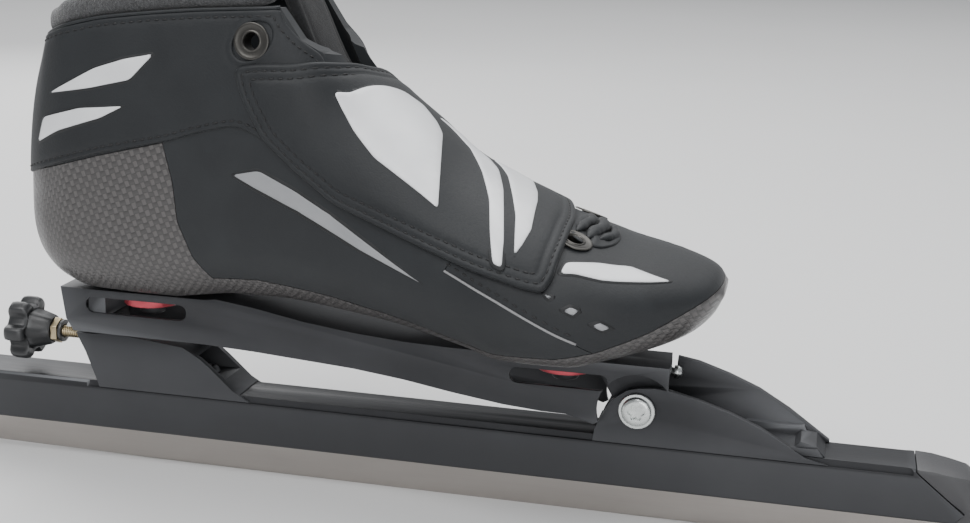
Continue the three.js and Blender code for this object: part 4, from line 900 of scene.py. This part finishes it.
def inset(ring, distance, keep=None):
    """An outline moved inwards; keep(point) picks the stretch that is wanted, as an open line."""
    ring = np.asarray(ring, float)
    normal = sideways(ring, 2)
    sign = 1 if inside(ring[:1] + normal[:1] * 0.2, ring)[0] else -1
    moved = ring + normal * distance * sign
    ok = inside(moved, ring) & (distance_to(moved, ring) > distance * 0.93)
    if keep is not None:
        ok &= np.array([keep(p) for p in moved])
    if ok.all():
        return moved
    first = next(i for i in range(len(ok)) if ok[i] and not ok[i - 1])
    return np.roll(moved, -first, 0)[np.roll(ok, -first)]


# ---------------------------------------------------------------- metal and plastic
HINGE_X, HINGE_Z, LOCK_Z = 78.0, 44.2, 49.2


def dressed(node, material, body, slot, bevel, segments):
    """A CAD piece's own shape with its flat faces merged and its edges broken, standing for the CAD node."""
    obj = bpy.data.objects.new(node + "_finish", frame["nodes"][node].data.copy())
    bpy.context.scene.collection.objects.link(obj)
    obj.data.materials.clear()
    obj.data.materials.append(material)
    bm = bmesh.new()
    bm.from_mesh(obj.data)
    bmesh.ops.remove_doubles(bm, verts=bm.verts, dist=2e-6)
    bmesh.ops.dissolve_limit(bm, angle_limit=math.radians(1.2), verts=bm.verts, edges=bm.edges)
    bm.to_mesh(obj.data)
    bm.free()
    baked(obj, [("BEVEL", {"width": bevel * MM, "segments": segments, "limit_method": "ANGLE",
                           "angle_limit": math.radians(28), "harden_normals": False,
                           "use_clamp_overlap": True})])
    smooth_by_angle(obj, 32)
    put(obj, body, node, slot=slot)


def paint(node, material):
    data = frame["nodes"][node].data
    data.materials.clear()
    data.materials.append(material)


def put(obj, body, *nodes, slot=None):
    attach(obj, body)
    if nodes:
        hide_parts(*nodes)
    return obj


def star_knob(material):
    """Six-lobed hand knob with eased edges, finger hollows and a tapered hub."""
    sides, lobes, radius, face, rim = 168, 6, 12.5, -170.8, 8.0
    # place along the axis from the face, and radius as a share of the knob's
    grip = [(0.9, 0.34), (0.5, 0.60), (0.0, 0.9), (0.7, 0.97), (2.2, 1.0), (rim - 2.2, 1.0),
            (rim - 0.7, 0.97),
            (rim, 0.9), (rim - 0.2, 0.72)]
    hub = [(rim - 0.4, 0.63), (rim + 1.6, 0.58), (rim + 4.6, 0.52), (rim + 7.4, 0.455), (rim + 8.0, 0.42)]
    rows = []
    for i, (along, size) in enumerate(grip + hub):
        row = []
        for k in range(sides):
            angle = 2 * PI * k / sides
            wave = math.cos(lobes * angle)
            flute = 1 + 0.035 * wave
            if i < len(grip):
                share = min(max((size - 0.55) / 0.3, 0), 1)
                flute = (0.865 + 0.135 * math.tanh(2.2 * wave) / math.tanh(2.2)) * share + (1 - share) * 0.86
            reach = radius * size * flute
            row.append((face + along, reach * math.cos(angle), LOCK_Z + reach * math.sin(angle)))
        rows.append(row)
    return tube("star_knob_moulded", rows, material, 50)


def threaded_stud(material):
    """The lock stud with its 0.8 mm thread, from the knob to the column."""
    radius, depth, pitch, x0, x1 = 2.4, 0.42, 0.8, -166.5, -124.2
    sides, steps_per_pitch = 28, 4
    count = int((x1 - x0) / pitch * steps_per_pitch)
    rows = []
    for i in range(count + 1):
        x = x0 + (x1 - x0) * i / count
        row = []
        for k in range(sides):
            phase = ((x - x0) / pitch - k / sides) % 1.0
            crest = 1 - abs(2 * phase - 1)
            run_out = min(x - x0, x1 - x, 1.0)
            reach = radius - depth * (1 - min(crest * 1.5, 1.0)) - (1 - run_out) * 0.3
            angle = 2 * PI * k / sides
            row.append((x, reach * math.cos(angle), LOCK_Z + reach * math.sin(angle)))
        rows.append(row)
    return tube("lock_stud_thread", rows, material, 60)


def hinge_screw(material):
    """Domed hinge screw with a flange, a stepped face and a six-lobed recess."""
    sides, seat_y = 96, -10.3
    # height outwards from the cheek, radius and depth of the six lobes: shank, head, then recess
    profile = [(-24.3, 2.7, 0), (-24.0, 3.0, 0), (0.0, 3.0, 0), (0.0, 6.3, 0), (0.25, 6.6, 0), (0.75, 6.6, 0),
               (1.05, 6.35, 0), (1.1, 5.5, 0), (1.35, 5.25, 0), (1.9, 4.95, 0), (2.25, 4.4, 0), (2.4, 3.9, 0),
               (2.35, 2.72, 0.15), (2.1, 2.6, 0.15), (0.95, 2.55, 0.15), (0.8, 0.6, 0)]
    rows = []
    for lift, radius, lobes in profile:
        row = []
        for k in range(sides):
            angle = 2 * PI * k / sides
            reach = radius * (1 + lobes * math.cos(6 * angle))
            row.append((HINGE_X + reach * math.cos(angle), seat_y - lift, HINGE_Z + reach * math.sin(angle)))
        rows.append(row)
    return tube("hinge_screw_turned", rows, material, 28)


def coil_spring(material):
    """Torsion spring round the hinge screw, with two straight legs."""
    wire, turns, radius, half = 0.6, 3, 5.1, 3.0
    low = HINGE_Z - radius
    pitch = 2 * (half - wire) / turns
    path = [(HINGE_X + 12, -half + wire, low), (HINGE_X + 6, -half + wire, low)]
    for i in range(turns * 30 + 1):
        turn = i / 30
        angle = -PI / 2 - 2 * PI * turn
        path.append((HINGE_X + radius * math.cos(angle), -half + wire + pitch * turn,
                     HINGE_Z + radius * math.sin(angle)))
    path += [(HINGE_X - 6, half - wire, low), (HINGE_X - 10, half - wire, low)]
    out = np.array(path) - np.array([HINGE_X, 0, HINGE_Z])
    out[:, 1] = 0
    out /= np.linalg.norm(out, axis=1)[:, None]
    out[:2] = out[-2:] = (0, 0, -1)
    return sweep("clap_spring_wire", path, out, circle_section(wire, 12), material)


# for each body: material, slot, width and steps of the broken edges, and the CAD nodes that get them
FINISHES = {
    "chassis": (
        ("tube", "black_alloy", 0.3, 2, ["blade_tube"]),
        ("cap", "cap_plastic", 0.4, 2, ["nose_cap", "tail_cap"]),
        ("metal", "black_alloy", 0.22, 2, ["heel_column", "hinge_tower"]),
        ("rubber", "rubber", 0.5, 3, ["heel_bumper"]),
        ("metal", "zinc", 0.12, 2, ["column_screw_1", "column_screw_2", "tower_screw_1", "tower_screw_2"]),
        ("zinc", "zinc", 0.25, 2, ["hinge_nut"])),
    "boot_and_bridge": (
        ("metal", "black_alloy", 0.3, 2, ["bridge"]),
        ("zinc", "zinc", 0.3, 2, ["latch_strike"]),
        ("zinc", "zinc", 0.1, 2, ["stop_screw"]),
        ("red", "red_alloy", 0.35, 3, ["mounting_disc_rear", "mounting_disc_front"]),
        ("metal", "zinc", 0.2, 2, ["mounting_bolt_rear", "mounting_bolt_front"]),
        ("brass", "brass", 0.15, 2, ["hinge_bushing_outer", "hinge_bushing_inner", "sole_nut_rear",
                                     "sole_nut_front"])),
    "lock_knob": (
        ("brass", "brass", 0.15, 2, ["knob_insert"]),
        ("brass", "zinc", 0.25, 2, ["knob_jam_nut"])),
    "lock_carriage": (
        ("knob", "knob_plastic", 0.15, 2, ["knob_washer"]),),
}


def dress_body(m, body):
    for material, slot, bevel, segments, nodes in FINISHES[body]:
        for node in nodes:
            dressed(node, m[material], body, slot, bevel, segments)


def make_metal(m):
    paint("runner", m["runner"])
    dress_body(m, "chassis")
    put(hinge_screw(m["zinc"]), "chassis", "hinge_bolt", slot="zinc")
    put(coil_spring(m["spring"]), "chassis", "clap_spring", slot="spring_steel")
    dress_body(m, "boot_and_bridge")
    put(star_knob(m["knob"]), "lock_knob", "star_knob", slot="knob_plastic")
    put(threaded_stud(m["brass"]), "lock_knob", "lock_stud", slot="brass")
    dress_body(m, "lock_knob")
    dress_body(m, "lock_carriage")


# ---------------------------------------------------------------- boot
BOOT_WALL = 4.0
FAR, OVER = 80.0, HEEL_SEAT + 160  # beyond the boot sideways and upwards
BOLTS = ((-112.5, HEEL_SEAT), (50.0, BALL_SEAT))  # place along the boot and seat height
COLLAR_LINE = above_heel_seat([
    (-49.6, 110.5), (-79, 108.5), (-97.7, 106.6), (-116.8, 104), (-132.4, 100.2), (HEEL_X + 13.8, 95.9),
    (HEEL_X - 10, 91.7)])
QUARTER_FRONT = above_heel_seat([(-13, 87.7), (-35.9, 95.3), (-42.4, 100)])
CARBON_REGION = above_heel_seat([
    (HEEL_X - 10, -21.3), (TOE_X + 10, -21.3), (TOE_X + 10, 24.7), (99.5, 17.1), (83.2, 8.9), (66.5, 2.3),
    (52.6, -0.7), (31.6, -1.3), (20, 1.1), (0, 5.7), (-30, 11.2), (-58, 14.2), (-75, 13.2), (-81.5, 21.4),
    (-87, 33.7), (-88.7, 48.3), (-92.2, 61.7), (-117.5, 55.3), (-144.7, 47.2), (HEEL_X - 10, 41.7)])
SEAM_LINE = [(14.6, 98.6), (24.3, 94.5), (35.1, 89.7), (48.7, 82.8), (59.9, 77.5), (66, 73.5)]
TOE_REGION = [(66, 50), (TOE_X + 10, 50), (TOE_X + 10, 135), (43, 135), (24, 112), *SEAM_LINE]
THROAT = [(-75, -13), (-20, -13), (52, -8.5), (60, -6), (63, 0), (60, 6), (52, 8.5), (-20, 13), (-75, 13)]
EYELETS = (("eyelet_outer_top", -1, -58.7, HEEL_SEAT + 99.1),
           ("eyelet_outer_front", -1, 54.6, HEEL_SEAT + 35.7),
           ("eyelet_inner_top", 1, -60.0, HEEL_SEAT + 98.7),
           ("eyelet_inner_front", 1, 53.0, HEEL_SEAT + 35.7))
EYELET_BORE, EYELET_RADIUS, EYELET_LIFT = 2.9, 6.5, 0.4
EYELET_INSIDE = -BOOT_WALL - 1.1
COVER_THICK, COVER_EDGE_Y = 1.7, 18.0


def traced(chart, *marks, lift=0.0):
    """An outline from marks on the surface raised by a lift: (x, z) on the outer side, or (x, y, "top")."""
    arcs = np.arange(-20, 150, 0.5)
    outline = []
    for mark in marks:
        raised, _ = surface(chart, np.full(len(arcs), float(mark[0])), arcs, lift)
        peak = int(np.argmax(raised[:, 2]))
        if len(mark) == 3:
            outline.append((mark[0], float(np.interp(mark[1], raised[:, 1], arcs))))
        else:
            outline.append((mark[0], float(np.interp(mark[1], raised[:peak + 1, 2], arcs[:peak + 1]))))
    return outline


def surface_frame(x, z, side):
    """The surface's point at a place and height on one side, and the way out of it."""
    low, high = 0.0, PI / 2
    for _ in range(40):
        middle = (low + high) / 2
        if boot_point(x, middle)[2] < z:
            low = middle
        else:
            high = middle
    angle = low if side > 0 else PI - low
    point = boot_point(x, angle)
    normal = np.cross(boot_point(x, angle + 0.01) - boot_point(x, angle - 0.01),
                      boot_point(x + 1, angle) - boot_point(x - 1, angle))
    return point, normal / np.linalg.norm(normal)


def rod_cutter(point, normal, radius, low, high):
    return lathe("cutter", [(radius, low), (radius, high)], 48, point, normal, None, joined=False)


def eyelet_cutters():
    for _, side, x, z in EYELETS:
        point, normal = surface_frame(x, z, side)
        yield rod_cutter(point, normal, EYELET_BORE + 1.1, -BOOT_WALL * 3, BOOT_WALL)
        yield rod_cutter(point, normal, EYELET_RADIUS - 0.7, -BOOT_WALL * 3, EYELET_INSIDE + 0.3)


def cloth_uv(obj):
    """Carbon cloth laid round the sole: along the boot one way, up the sides and under the foot the other."""
    points = np.array([v.co[:] for v in obj.data.vertices]) / MM
    x, y, z = points.T
    wide = half_width(x)
    heel = ease((-125 - x) / 15)
    u = x - heel * np.maximum(29.5 - np.abs(y), 0) * ease((z - HEEL_SEAT - 2) / 10)
    v = z + np.minimum(np.abs(y - middle_line(x)) - wide, 0) * (1 - ease((z - HEEL_SEAT - 12) / 12))
    put_uv(obj.data, np.stack([u, v], -1) * MM)


def grown(outline, distance):
    """An outline with straight sides, moved outwards."""
    ring = np.asarray(outline, float)
    out = []
    for i in range(len(ring)):
        before, after = ring[i] - ring[i - 1], ring[(i + 1) % len(ring)] - ring[i]
        before, after = before / np.linalg.norm(before), after / np.linalg.norm(after)
        normal = np.array([before[1] + after[1], -before[0] - after[0]])
        normal /= np.linalg.norm(normal)
        out.append(tuple(ring[i] + normal * distance / max(normal @ np.array([after[1], -after[0]]), 0.5)))
    return out


def copied(obj):
    twin = obj.copy()
    twin.data = obj.data.copy()
    bpy.context.scene.collection.objects.link(twin)
    return twin


def finish_carved(obj, name, material, angle=38):
    obj.name = name
    obj.data.materials.clear()
    obj.data.materials.append(material)
    smooth_by_angle(obj, angle)


def make_shells(m):
    """The sole and the upper's three pieces, cut from one shell."""
    sole = loft(0)
    carve(sole, ("INTERSECT", prism(CARBON_REGION, -FAR, FAR)), ("DIFFERENCE", loft(-BOOT_WALL)))
    for x, seat in BOLTS:
        boss = rod_cutter((x, 0, seat - 1), (0, 0, 1), 11.9, 0, 6.4)
        carve(boss, ("INTERSECT", loft(-0.2)))
        carve(sole, ("UNION", boss))
    for x, _ in BOLTS:
        carve(sole, ("DIFFERENCE", rod_cutter((x, 0, BALL_SEAT - 10), (0, 0, 1), 5.9, 0, 40)))

    upper = loft(0)
    carve(upper, ("DIFFERENCE", prism(grown(CARBON_REGION, 0.25), -FAR, FAR)),
          ("DIFFERENCE", loft(-BOOT_WALL)),
          ("DIFFERENCE", prism(THROAT, HEEL_SEAT + 29, OVER, upright=True)),
          *[("DIFFERENCE", c) for c in eyelet_cutters()])
    toe = copied(upper)
    carve(toe, ("INTERSECT", prism(TOE_REGION, -FAR, FAR)))
    above_collar = [*COLLAR_LINE, (HEEL_X - 10, OVER), (OVER, OVER), (OVER, QUARTER_FRONT[0][1]),
                    *QUARTER_FRONT]
    carve(upper, ("DIFFERENCE", prism(grown(TOE_REGION, 0.25), -FAR, FAR)),
          ("DIFFERENCE", prism(above_collar, -FAR, FAR)))
    inner = copied(upper)
    big = OVER * 2
    whole = [(-big, -10), (big, -10), (big, big), (-big, big)]
    carve(upper, ("INTERSECT", prism(whole, -FAR, -0.15)))
    carve(inner, ("INTERSECT", prism(whole, 0.15, FAR)))
    for obj, name, material, slot in ((sole, "carbon_sole", "carbon", "carbon"),
                                      (toe, "toe_box", "upper", "microfibre"),
                                      (upper, "quarter_outer", "side", "microfibre"),
                                      (inner, "quarter_inner", "side", "microfibre")):
        finish_carved(obj, name + "_shell", m[material])
        put(obj, "boot_and_bridge", name, slot=slot)
    cloth_uv(sole)


ANKLE_LOW = [(-153.5, 115.0), (-144, 118.8), (-133.7, 122.5), (-116, 127.9), (-90.7, 133.6), (-77.3, 138.0),
             (-64, 141.2), (-54, 137), (-42, 128)]
ANKLE_FRONT = [(-34.5, 133), (-31.5, 150), (-35.5, 165.2), (-42.2, 170.9), (-48.2, 177.6)]


def ankle_outline(wrap, side):
    """Half of the ankle panel's outline: its lower edge, its front, then the collar back to the heel."""
    collar = [(x, z - 0.4) for x, z in COLLAR_LINE[:-1]]
    return wrap.outline(ANKLE_LOW + ANKLE_FRONT + collar, side)


def make_ankle(m, wrap):
    """Panel of leather wrapped round the heel and ankle, with a stitched edge."""
    outer, inner = ankle_outline(wrap, -1), ankle_outline(wrap, 1)
    heel_low, heel_top = (0.0, 112.6), (0.0, COLLAR_LINE[-1][1] + 1.6)
    ring = [heel_low] + outer + [heel_top] + inner[::-1]
    ring = rounded(ring, 4, 1.2)
    holes = []
    for _, side, x, z in EYELETS:
        if x < 0:
            centre = np.array([wrap.arc_at(x, z, side), z])
            turn = np.linspace(0, 2 * PI, 40, endpoint=False)
            holes.append(centre + np.stack([np.cos(turn), np.sin(turn)], -1) * (EYELET_RADIUS + 0.25))
    piece = panel("ankle_panel", wrap, ring, m["upper"], 0.9, base=0.03, roll=0.8, spacing=2.0, holes=holes,
                  shape=lambda p, d: -0.28 * np.exp(-((d - 2.2) / 0.55) ** 2),
                  rims=[0.1, 0.4, 0.8, 1.5, 2.2, 2.9])
    put(piece, "boot_and_bridge", slot="microfibre")
    sewn = stitches("ankle_stitches", wrap, inset(ring, 2.2), 0.72, m["thread"], closed=True)
    put(sewn, "boot_and_bridge")


def make_eyelets(m):
    for name, side, x, z in EYELETS:
        point, normal = surface_frame(x, z, side)
        r, b, top = EYELET_RADIUS, EYELET_BORE, EYELET_LIFT
        obj = lathe(name + "_ring", [
            (b, EYELET_INSIDE - 0.8), (r - 1.1, EYELET_INSIDE - 0.8), (r - 1, EYELET_INSIDE - 0.6),
            (r - 1, EYELET_INSIDE), (b + 0.8, EYELET_INSIDE), (b + 0.8, top), (r - 0.15, top),
            (r, top + 0.16),
            (r - 0.1, top + 0.42), (r - 0.5, top + 0.62), (r - 0.95, top + 0.55), (r - 1.3, top + 0.32),
            (b + 1.0, top + 0.34), (b + 0.75, top + 0.62), (b + 0.4, top + 0.68), (b + 0.1, top + 0.45),
            (b - 0.05, top - 0.1), (b, top - 1.4)], 72, point, normal, m["eyelet"])
        put(obj, "boot_and_bridge", name, slot="eyelet_metal")


def collar_track(wrap):
    """The collar's edge, from the outer front round the heel to the inner front, and the way outwards."""
    line = spline(COLLAR_LINE[:-1], 2.0)
    outer, inner = wrap.outline(line, -1), wrap.outline(line, 1)
    heel = (0.0, COLLAR_LINE[-1][1] + 1.9)
    track = even(np.array(outer + [heel] + inner[::-1]), 2.0, closed=False)
    return surface(wrap, track[:, 0], track[:, 1], np.zeros(len(track)))


def make_collar(m, wrap):
    edge, out = collar_track(wrap)
    level = out * np.array([1, 1, 0])
    level /= np.linalg.norm(level, axis=1)[:, None]
    up = np.zeros_like(level)
    up[:, 2] = 1
    turn = np.linspace(0, 2 * PI, 28, endpoint=False)

    def section(share):
        end = min(share, 1 - share)
        size = 0.35 + 0.65 * math.sqrt(min(1, end / 0.045))
        lump = 1 + 0.05 * math.sin(share * 61) + 0.04 * math.sin(share * 143 + 1)
        points = []
        for t in turn:
            across = math.copysign(abs(math.cos(t)) ** 0.8, math.cos(t)) * 3.55 * size
            rise = math.copysign(abs(math.sin(t)) ** 0.85, math.sin(t))
            points.append((across, 4.3 + rise * size * (4.6 * lump if rise > 0 else 3.9)))
        return points

    pad = sweep("collar_roll", edge - level * 4.35, up, section, m["padding"])
    put(pad, "boot_and_bridge", "collar_pad", slot="padding")
    piping = sweep("collar_piping", edge - level * 0.15 + up * 0.1, level, circle_section(0.75), m["side"])
    put(piping, "boot_and_bridge")


def make_tongue(m):
    arch = Arch(-57, 66)
    ring = rounded([(-50.5, -12), (-44, -17), (-30, -18), (20, -18), (50, -12), (58, -7), (60, 0), (58, 7),
                    (50, 12),
                    (20, 18), (-30, 18), (-44, 17), (-50.5, 12), (-52, 0)], 5, 1.6)

    def quilt(p, d):
        return -0.5 * np.exp(-((d - 5) / 1.0) ** 2) + 0.25 * np.sin(p[:, 0] * 0.33) * np.cos(p[:, 1] * 0.28)

    piece = panel("tongue_pad", arch, ring, m["lining"], 4.0, base=-10.6, roll=2.5, spacing=2.4, shape=quilt,
                  rims=[0.3, 1.1, 2.5, 4.0, 5.0, 6.0])
    put(piece, "boot_and_bridge", "tongue", slot="padding")


def make_insole(m):
    floor = BOOT_WALL + 3.8
    tops = [(x, float(sole_line(x)) + floor + 1.4) for x in (90, 70, 50, 30, 8, -25, -55, -75, -98, -140)]
    insole = loft(-BOOT_WALL - 0.4, 96)
    carve(insole, ("INTERSECT", prism([(-150, 0), (90, 0)] + tops + [(-150, HEEL_SEAT + 12.5)], -FAR, FAR)))
    for x, seat in BOLTS:
        carve(insole, ("DIFFERENCE", rod_cutter((x, 0, seat - 1), (0, 0, 1), 12.3, -2, 6.8)))
    finish_carved(insole, "insole_pad", m["lining"], 40)
    put(insole, "boot_and_bridge", "insole", slot="padding")


def cover_ring(over):
    low = traced(over, (-64.7, 161.2), (-61.4, 150.6), (-53.8, 137.3), (-42.6, 127.7), (-27.5, 117),
                 (-8.7, 110.3),
                 (9.9, 103.9), (24, 99.5), (35.1, 96.9), (42, 95), (49, 94), (51.4, 98), (52.3, 106))
    front = traced(over, (52, -8, "top"), (49.5, 6, "top"), (46, COVER_EDGE_Y, "top"))
    edge = traced(over, (20, COVER_EDGE_Y, "top"), (-8, COVER_EDGE_Y, "top"), (-21, COVER_EDGE_Y, "top"))
    top = traced(over, (-24.5, 6, "top"), (-26.5, -6, "top"), (-33, 162.4), (-44, 163), (-56, 162.8))
    return rounded(low + front + edge + top, 3.5, 1.1)


def sewn_along(obj):
    """Bakes the piece's place into its mesh; it stays where it is made."""
    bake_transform(obj)


def make_cover(m, over):
    """The leather cover over the closure. The leather and its edge stitches stay where they are made; the
    second row of stitches and the inlays go with the cover's body.
    """
    ring = cover_ring(over)

    def underside(p, d):
        return 0.95 + 0.35 * ease(d / 8)

    def seams(p, d):
        grooves = np.exp(-((d - 2.3) / 0.5) ** 2) + np.exp(-((d - 5.0) / 0.5) ** 2)
        return -0.45 * grooves + 0.2 * ease((d - 5.5) / 3)

    cover = panel("cover_leather", over, ring, m["upper"], COVER_THICK, roll=1.1, spacing=1.5, shape=seams,
                  lay=underside, rims=[0.12, 0.45, 1.1, 1.8, 2.3, 2.8, 4.3, 5.0, 5.7])
    sewn_along(cover)
    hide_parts("closure_cover")
    height = COVER_THICK + 0.95 - 0.33
    edge_row = even(inset(ring, 2.3), 1.0, True)
    sewn_along(stitches("cover_stitches", over, edge_row, height, m["thread"], closed=True))

    def outer_side(p):
        _, y, z = over.point(*p)
        return p[0] < 46 and y < -16 and z < 159

    second = inset(ring, 5.0, keep=outer_side)
    put(stitches("cover_stitches_second", over, second, height + 0.22, m["thread"]), "cover")

    big = traced(over, (-31.9, 154.3), (-27.1, -25, "top"), (-14.4, -1, "top"), (-8.3, 2, "top"),
                 (-1.8, -3, "top"),
                 (1.6, -8, "top"), (9.6, 118.1), (3.7, 122), (-3.7, 126.8), (-14.2, 133.3), (-23, 142),
                 (-28.4, 149.1),
                 lift=3)
    stripe = traced(over, (-3.5, 4, "top"), (3.5, 11, "top"), (10, 10, "top"), (16, 6.5, "top"),
                    (21.3, -1, "top"),
                    (27, -17, "top"), (30.7, -31, "top"), (33.2, 109.8), (34.6, 102), (31.5, 103),
                    (28.4, 111.2),
                    (24.4, -27, "top"), (17.7, -12, "top"), (9.5, 2, "top"), (2.5, 5, "top"), lift=3)
    leaf = traced(over, (16.5, 11, "top"), (24, 13, "top"), (32.1, 10, "top"), (36.6, -4, "top"),
                  (38.2, -12, "top"),
                  (40.4, -32, "top"), (39.2, 108.4), (37.5, 105.4), (35.9, 111.1), (34.2, -29, "top"),
                  (30.8, -19, "top"), (25, -2, "top"), (20.5, 6, "top"), lift=3)
    for name, outline in (("cover_inlay_large", big), ("cover_inlay_stripe", stripe),
                          ("cover_inlay_leaf", leaf)):
        lay_inlay(m, over, name, outline, 3.3, "cover")


def lay_inlay(m, chart, name, outline, height, body="boot_and_bridge", film="inlay", eased=1.6):
    """A film inlay in a narrow dark frame."""
    ring = rounded(outline, eased, 0.9)
    sign = 1 if polygon_area(ring) > 0 else -1
    border = rounded(grown(outline if sign > 0 else outline[::-1], 1.1), eased + 0.8, 1.1)
    frame = panel(name + "_border", chart, border, m["lining_smooth"], 0.16, base=height - 0.25, roll=0.3,
                  spacing=2.2,
                  rims=[0.15])
    put(frame, body)
    piece = panel(name, chart, ring, m[film], 0.34, base=height - 0.16, roll=0.4, spacing=1.8,
                  rims=[0.1, 0.25])
    put(piece, body)


def polygon_area(ring):
    ring = np.asarray(ring, float)
    after = np.roll(ring, -1, 0)
    return 0.5 * float((ring[:, 0] * after[:, 1] - after[:, 0] * ring[:, 1]).sum())


def make_inlays(m, wrap, over):
    heel_one = [(-137.8, 147.3), (-128, 152.6), (-117.9, 157.9), (-106, 161.8), (-94.9, 164.1),
                (-103.9, 154.6),
                (-119.9, 150.7)]
    heel_two = [(-141.2, 138.2), (-124.3, 143.3), (-106.3, 145.3), (-115.8, 140.4), (-133.4, 134.5),
                (-144.6, 128.5)]
    dagger = [(-65.5, 123.7), (-55.6, 125.9), (-42, 119.9), (-28.4, 112.9), (-11, 102.7), (6.9, 93.2),
              (-16.8, 101.9),
              (-39.8, 112.4), (-57.9, 120)]
    diamonds = ([(56, 89.1), (58.4, 90.3), (61.1, 89.2), (59, 87.5)],
                [(65.5, 84.1), (68, 85.2), (71.5, 83.2), (68.7, 82.2)],
                [(49, 94.1), (52.3, 93.3), (50.7, 92.6)])
    toe = [(54.3, -35), (64.8, -28), (74.5, -23), (88.7, -21), (82, -27), (66.2, -36), (58.1, -38),
           (53.2, -40)]
    for side, word in ((-1, "outer"), (1, "inner")):
        lay_inlay(m, wrap, f"heel_inlay_upper_{word}", wrap.outline(heel_one, side), 1.05)
        lay_inlay(m, wrap, f"heel_inlay_lower_{word}", wrap.outline(heel_two, side), 1.05)
        lay_inlay(m, wrap, f"side_inlay_{word}", wrap.outline(dagger, side), 0.2, film="silver")
        for i, outline in enumerate(diamonds):
            lay_inlay(m, wrap, f"toe_mark_{word}_{i + 1}", wrap.outline(outline, side), 0.2, film="silver",
                      eased=0.5)
        ring = [(x, over.arc_across(x, side * abs(y))) for x, y in toe]
        lay_inlay(m, over, f"toe_inlay_{word}", ring, 0.2)


def make_seams(m, wrap):
    """Side seams: a painted edge where the toe piece meets the side, and stitches beside it."""
    line = SEAM_LINE[:-1]
    for side, word in ((-1, "outer"), (1, "inner")):
        track = spline(wrap.outline(line, side), 1.0)
        place, out = surface(wrap, track[:, 0], track[:, 1], np.full(len(track), 0.12))
        seam = sweep(f"side_seam_{word}", place, out, circle_section(0.42, 8), m["edge"])
        put(seam, "boot_and_bridge")
        beside = spline(wrap.outline([(x, z + 2.6) for x, z in line], side), 1.0)
        put(stitches(f"side_stitches_{word}", wrap, beside, -0.05, m["thread"]), "boot_and_bridge")


def make_front_fold(m, over):
    """Soft leather gathered where the throat ends under the cover's front edge."""
    marks = [(44, -9), (50, -17), (57, -21), (63.5, -19), (67.5, -10), (68, 0), (66, 10), (60, 16), (50, 15),
             (44, 9)]
    ring = rounded([(x, over.arc_across(x, y)) for x, y in marks], 4, 1.2)

    def folds(p, d):
        along, across = p.T
        wave = np.sin(along * 0.85 + 0.9 * np.sin(across * 0.16)) + 0.5 * np.sin(along * 1.7 + across * 0.31)
        return 0.55 * wave * ease(d / 4)

    fold = panel("throat_gather", over, ring, m["upper"], 0.7, base=0.06, roll=0.7, spacing=1.1, shape=folds,
                 rims=[0.1, 0.35, 0.7])
    put(fold, "boot_and_bridge", slot="microfibre")
    for i, (x, reach, size, lift) in enumerate(((56, 15, 1.9, 1.1), (60.5, 17, 2.3, 1.0),
                                                (65, 13, 1.8, 0.7))):
        across = np.linspace(-reach, reach * 0.8, 40)
        bend = x + 3.2 * np.cos(across / reach * 1.4) + 0.5 * np.sin(across * 0.3 + i) - 3.2
        arcs = np.array([over.arc_across(a, y) for a, y in zip(bend, across)])
        place, out = surface(over, bend, arcs, np.full(len(arcs), lift))

        def roll(share, size=size):
            ends = min(1.0, 4.5 * share, 4.5 * (1 - share))
            wrinkle = 1 + 0.05 * math.sin(share * 19 + size * 9)
            return circle_section(max(size * math.sqrt(max(ends, 0.02)) * wrinkle, 0.15), 14, 0.8)

        put(sweep(f"throat_fold_{i + 1}", place, out, roll, m["upper"]), "boot_and_bridge", slot="microfibre")


def make_boot(m):
    wrap = Wrap(76, 186)
    over = Over(-70, 100)
    make_shells(m)
    make_ankle(m, wrap)
    make_eyelets(m)
    make_collar(m, wrap)
    make_tongue(m)
    make_insole(m)
    make_cover(m, over)
    make_inlays(m, wrap, over)
    make_seams(m, wrap)
    make_front_fold(m, over)
    loop = rounded(traced(over, (-42, 130), (4, 108), (38, 96), (41, 104), (10, 119), (-34, 144)), 4, 1.6)
    patch = panel("loop_cloth", over, loop, m["lining"], 0.55, base=0.3, roll=0.4, spacing=3.0, rims=[0.2])
    put(patch, "boot_and_bridge", "loop_patch", slot="loop_fabric")


def make_floor():
    mesh = bpy.data.meshes.new("floor")
    bm = bmesh.new()
    bmesh.ops.create_grid(bm, x_segments=2, y_segments=2, size=6)
    bm.to_mesh(mesh)
    bm.free()
    floor = bpy.data.objects.new("floor", mesh)
    bpy.context.scene.collection.objects.link(floor)
    n = Nodes("pale_floor")
    place = n.place()
    soft = n.noise(place, 3.0, 3)
    n.done(Base_Color=n.mix(soft, (0.70, 0.70, 0.70), (0.74, 0.74, 0.74)), Roughness=0.75,
           Specular_IOR_Level=0.3)
    mesh.materials.append(n.material)


make_camera()
make_studio()
make_floor()
materials = make_materials()
make_metal(materials)
make_boot(materials)
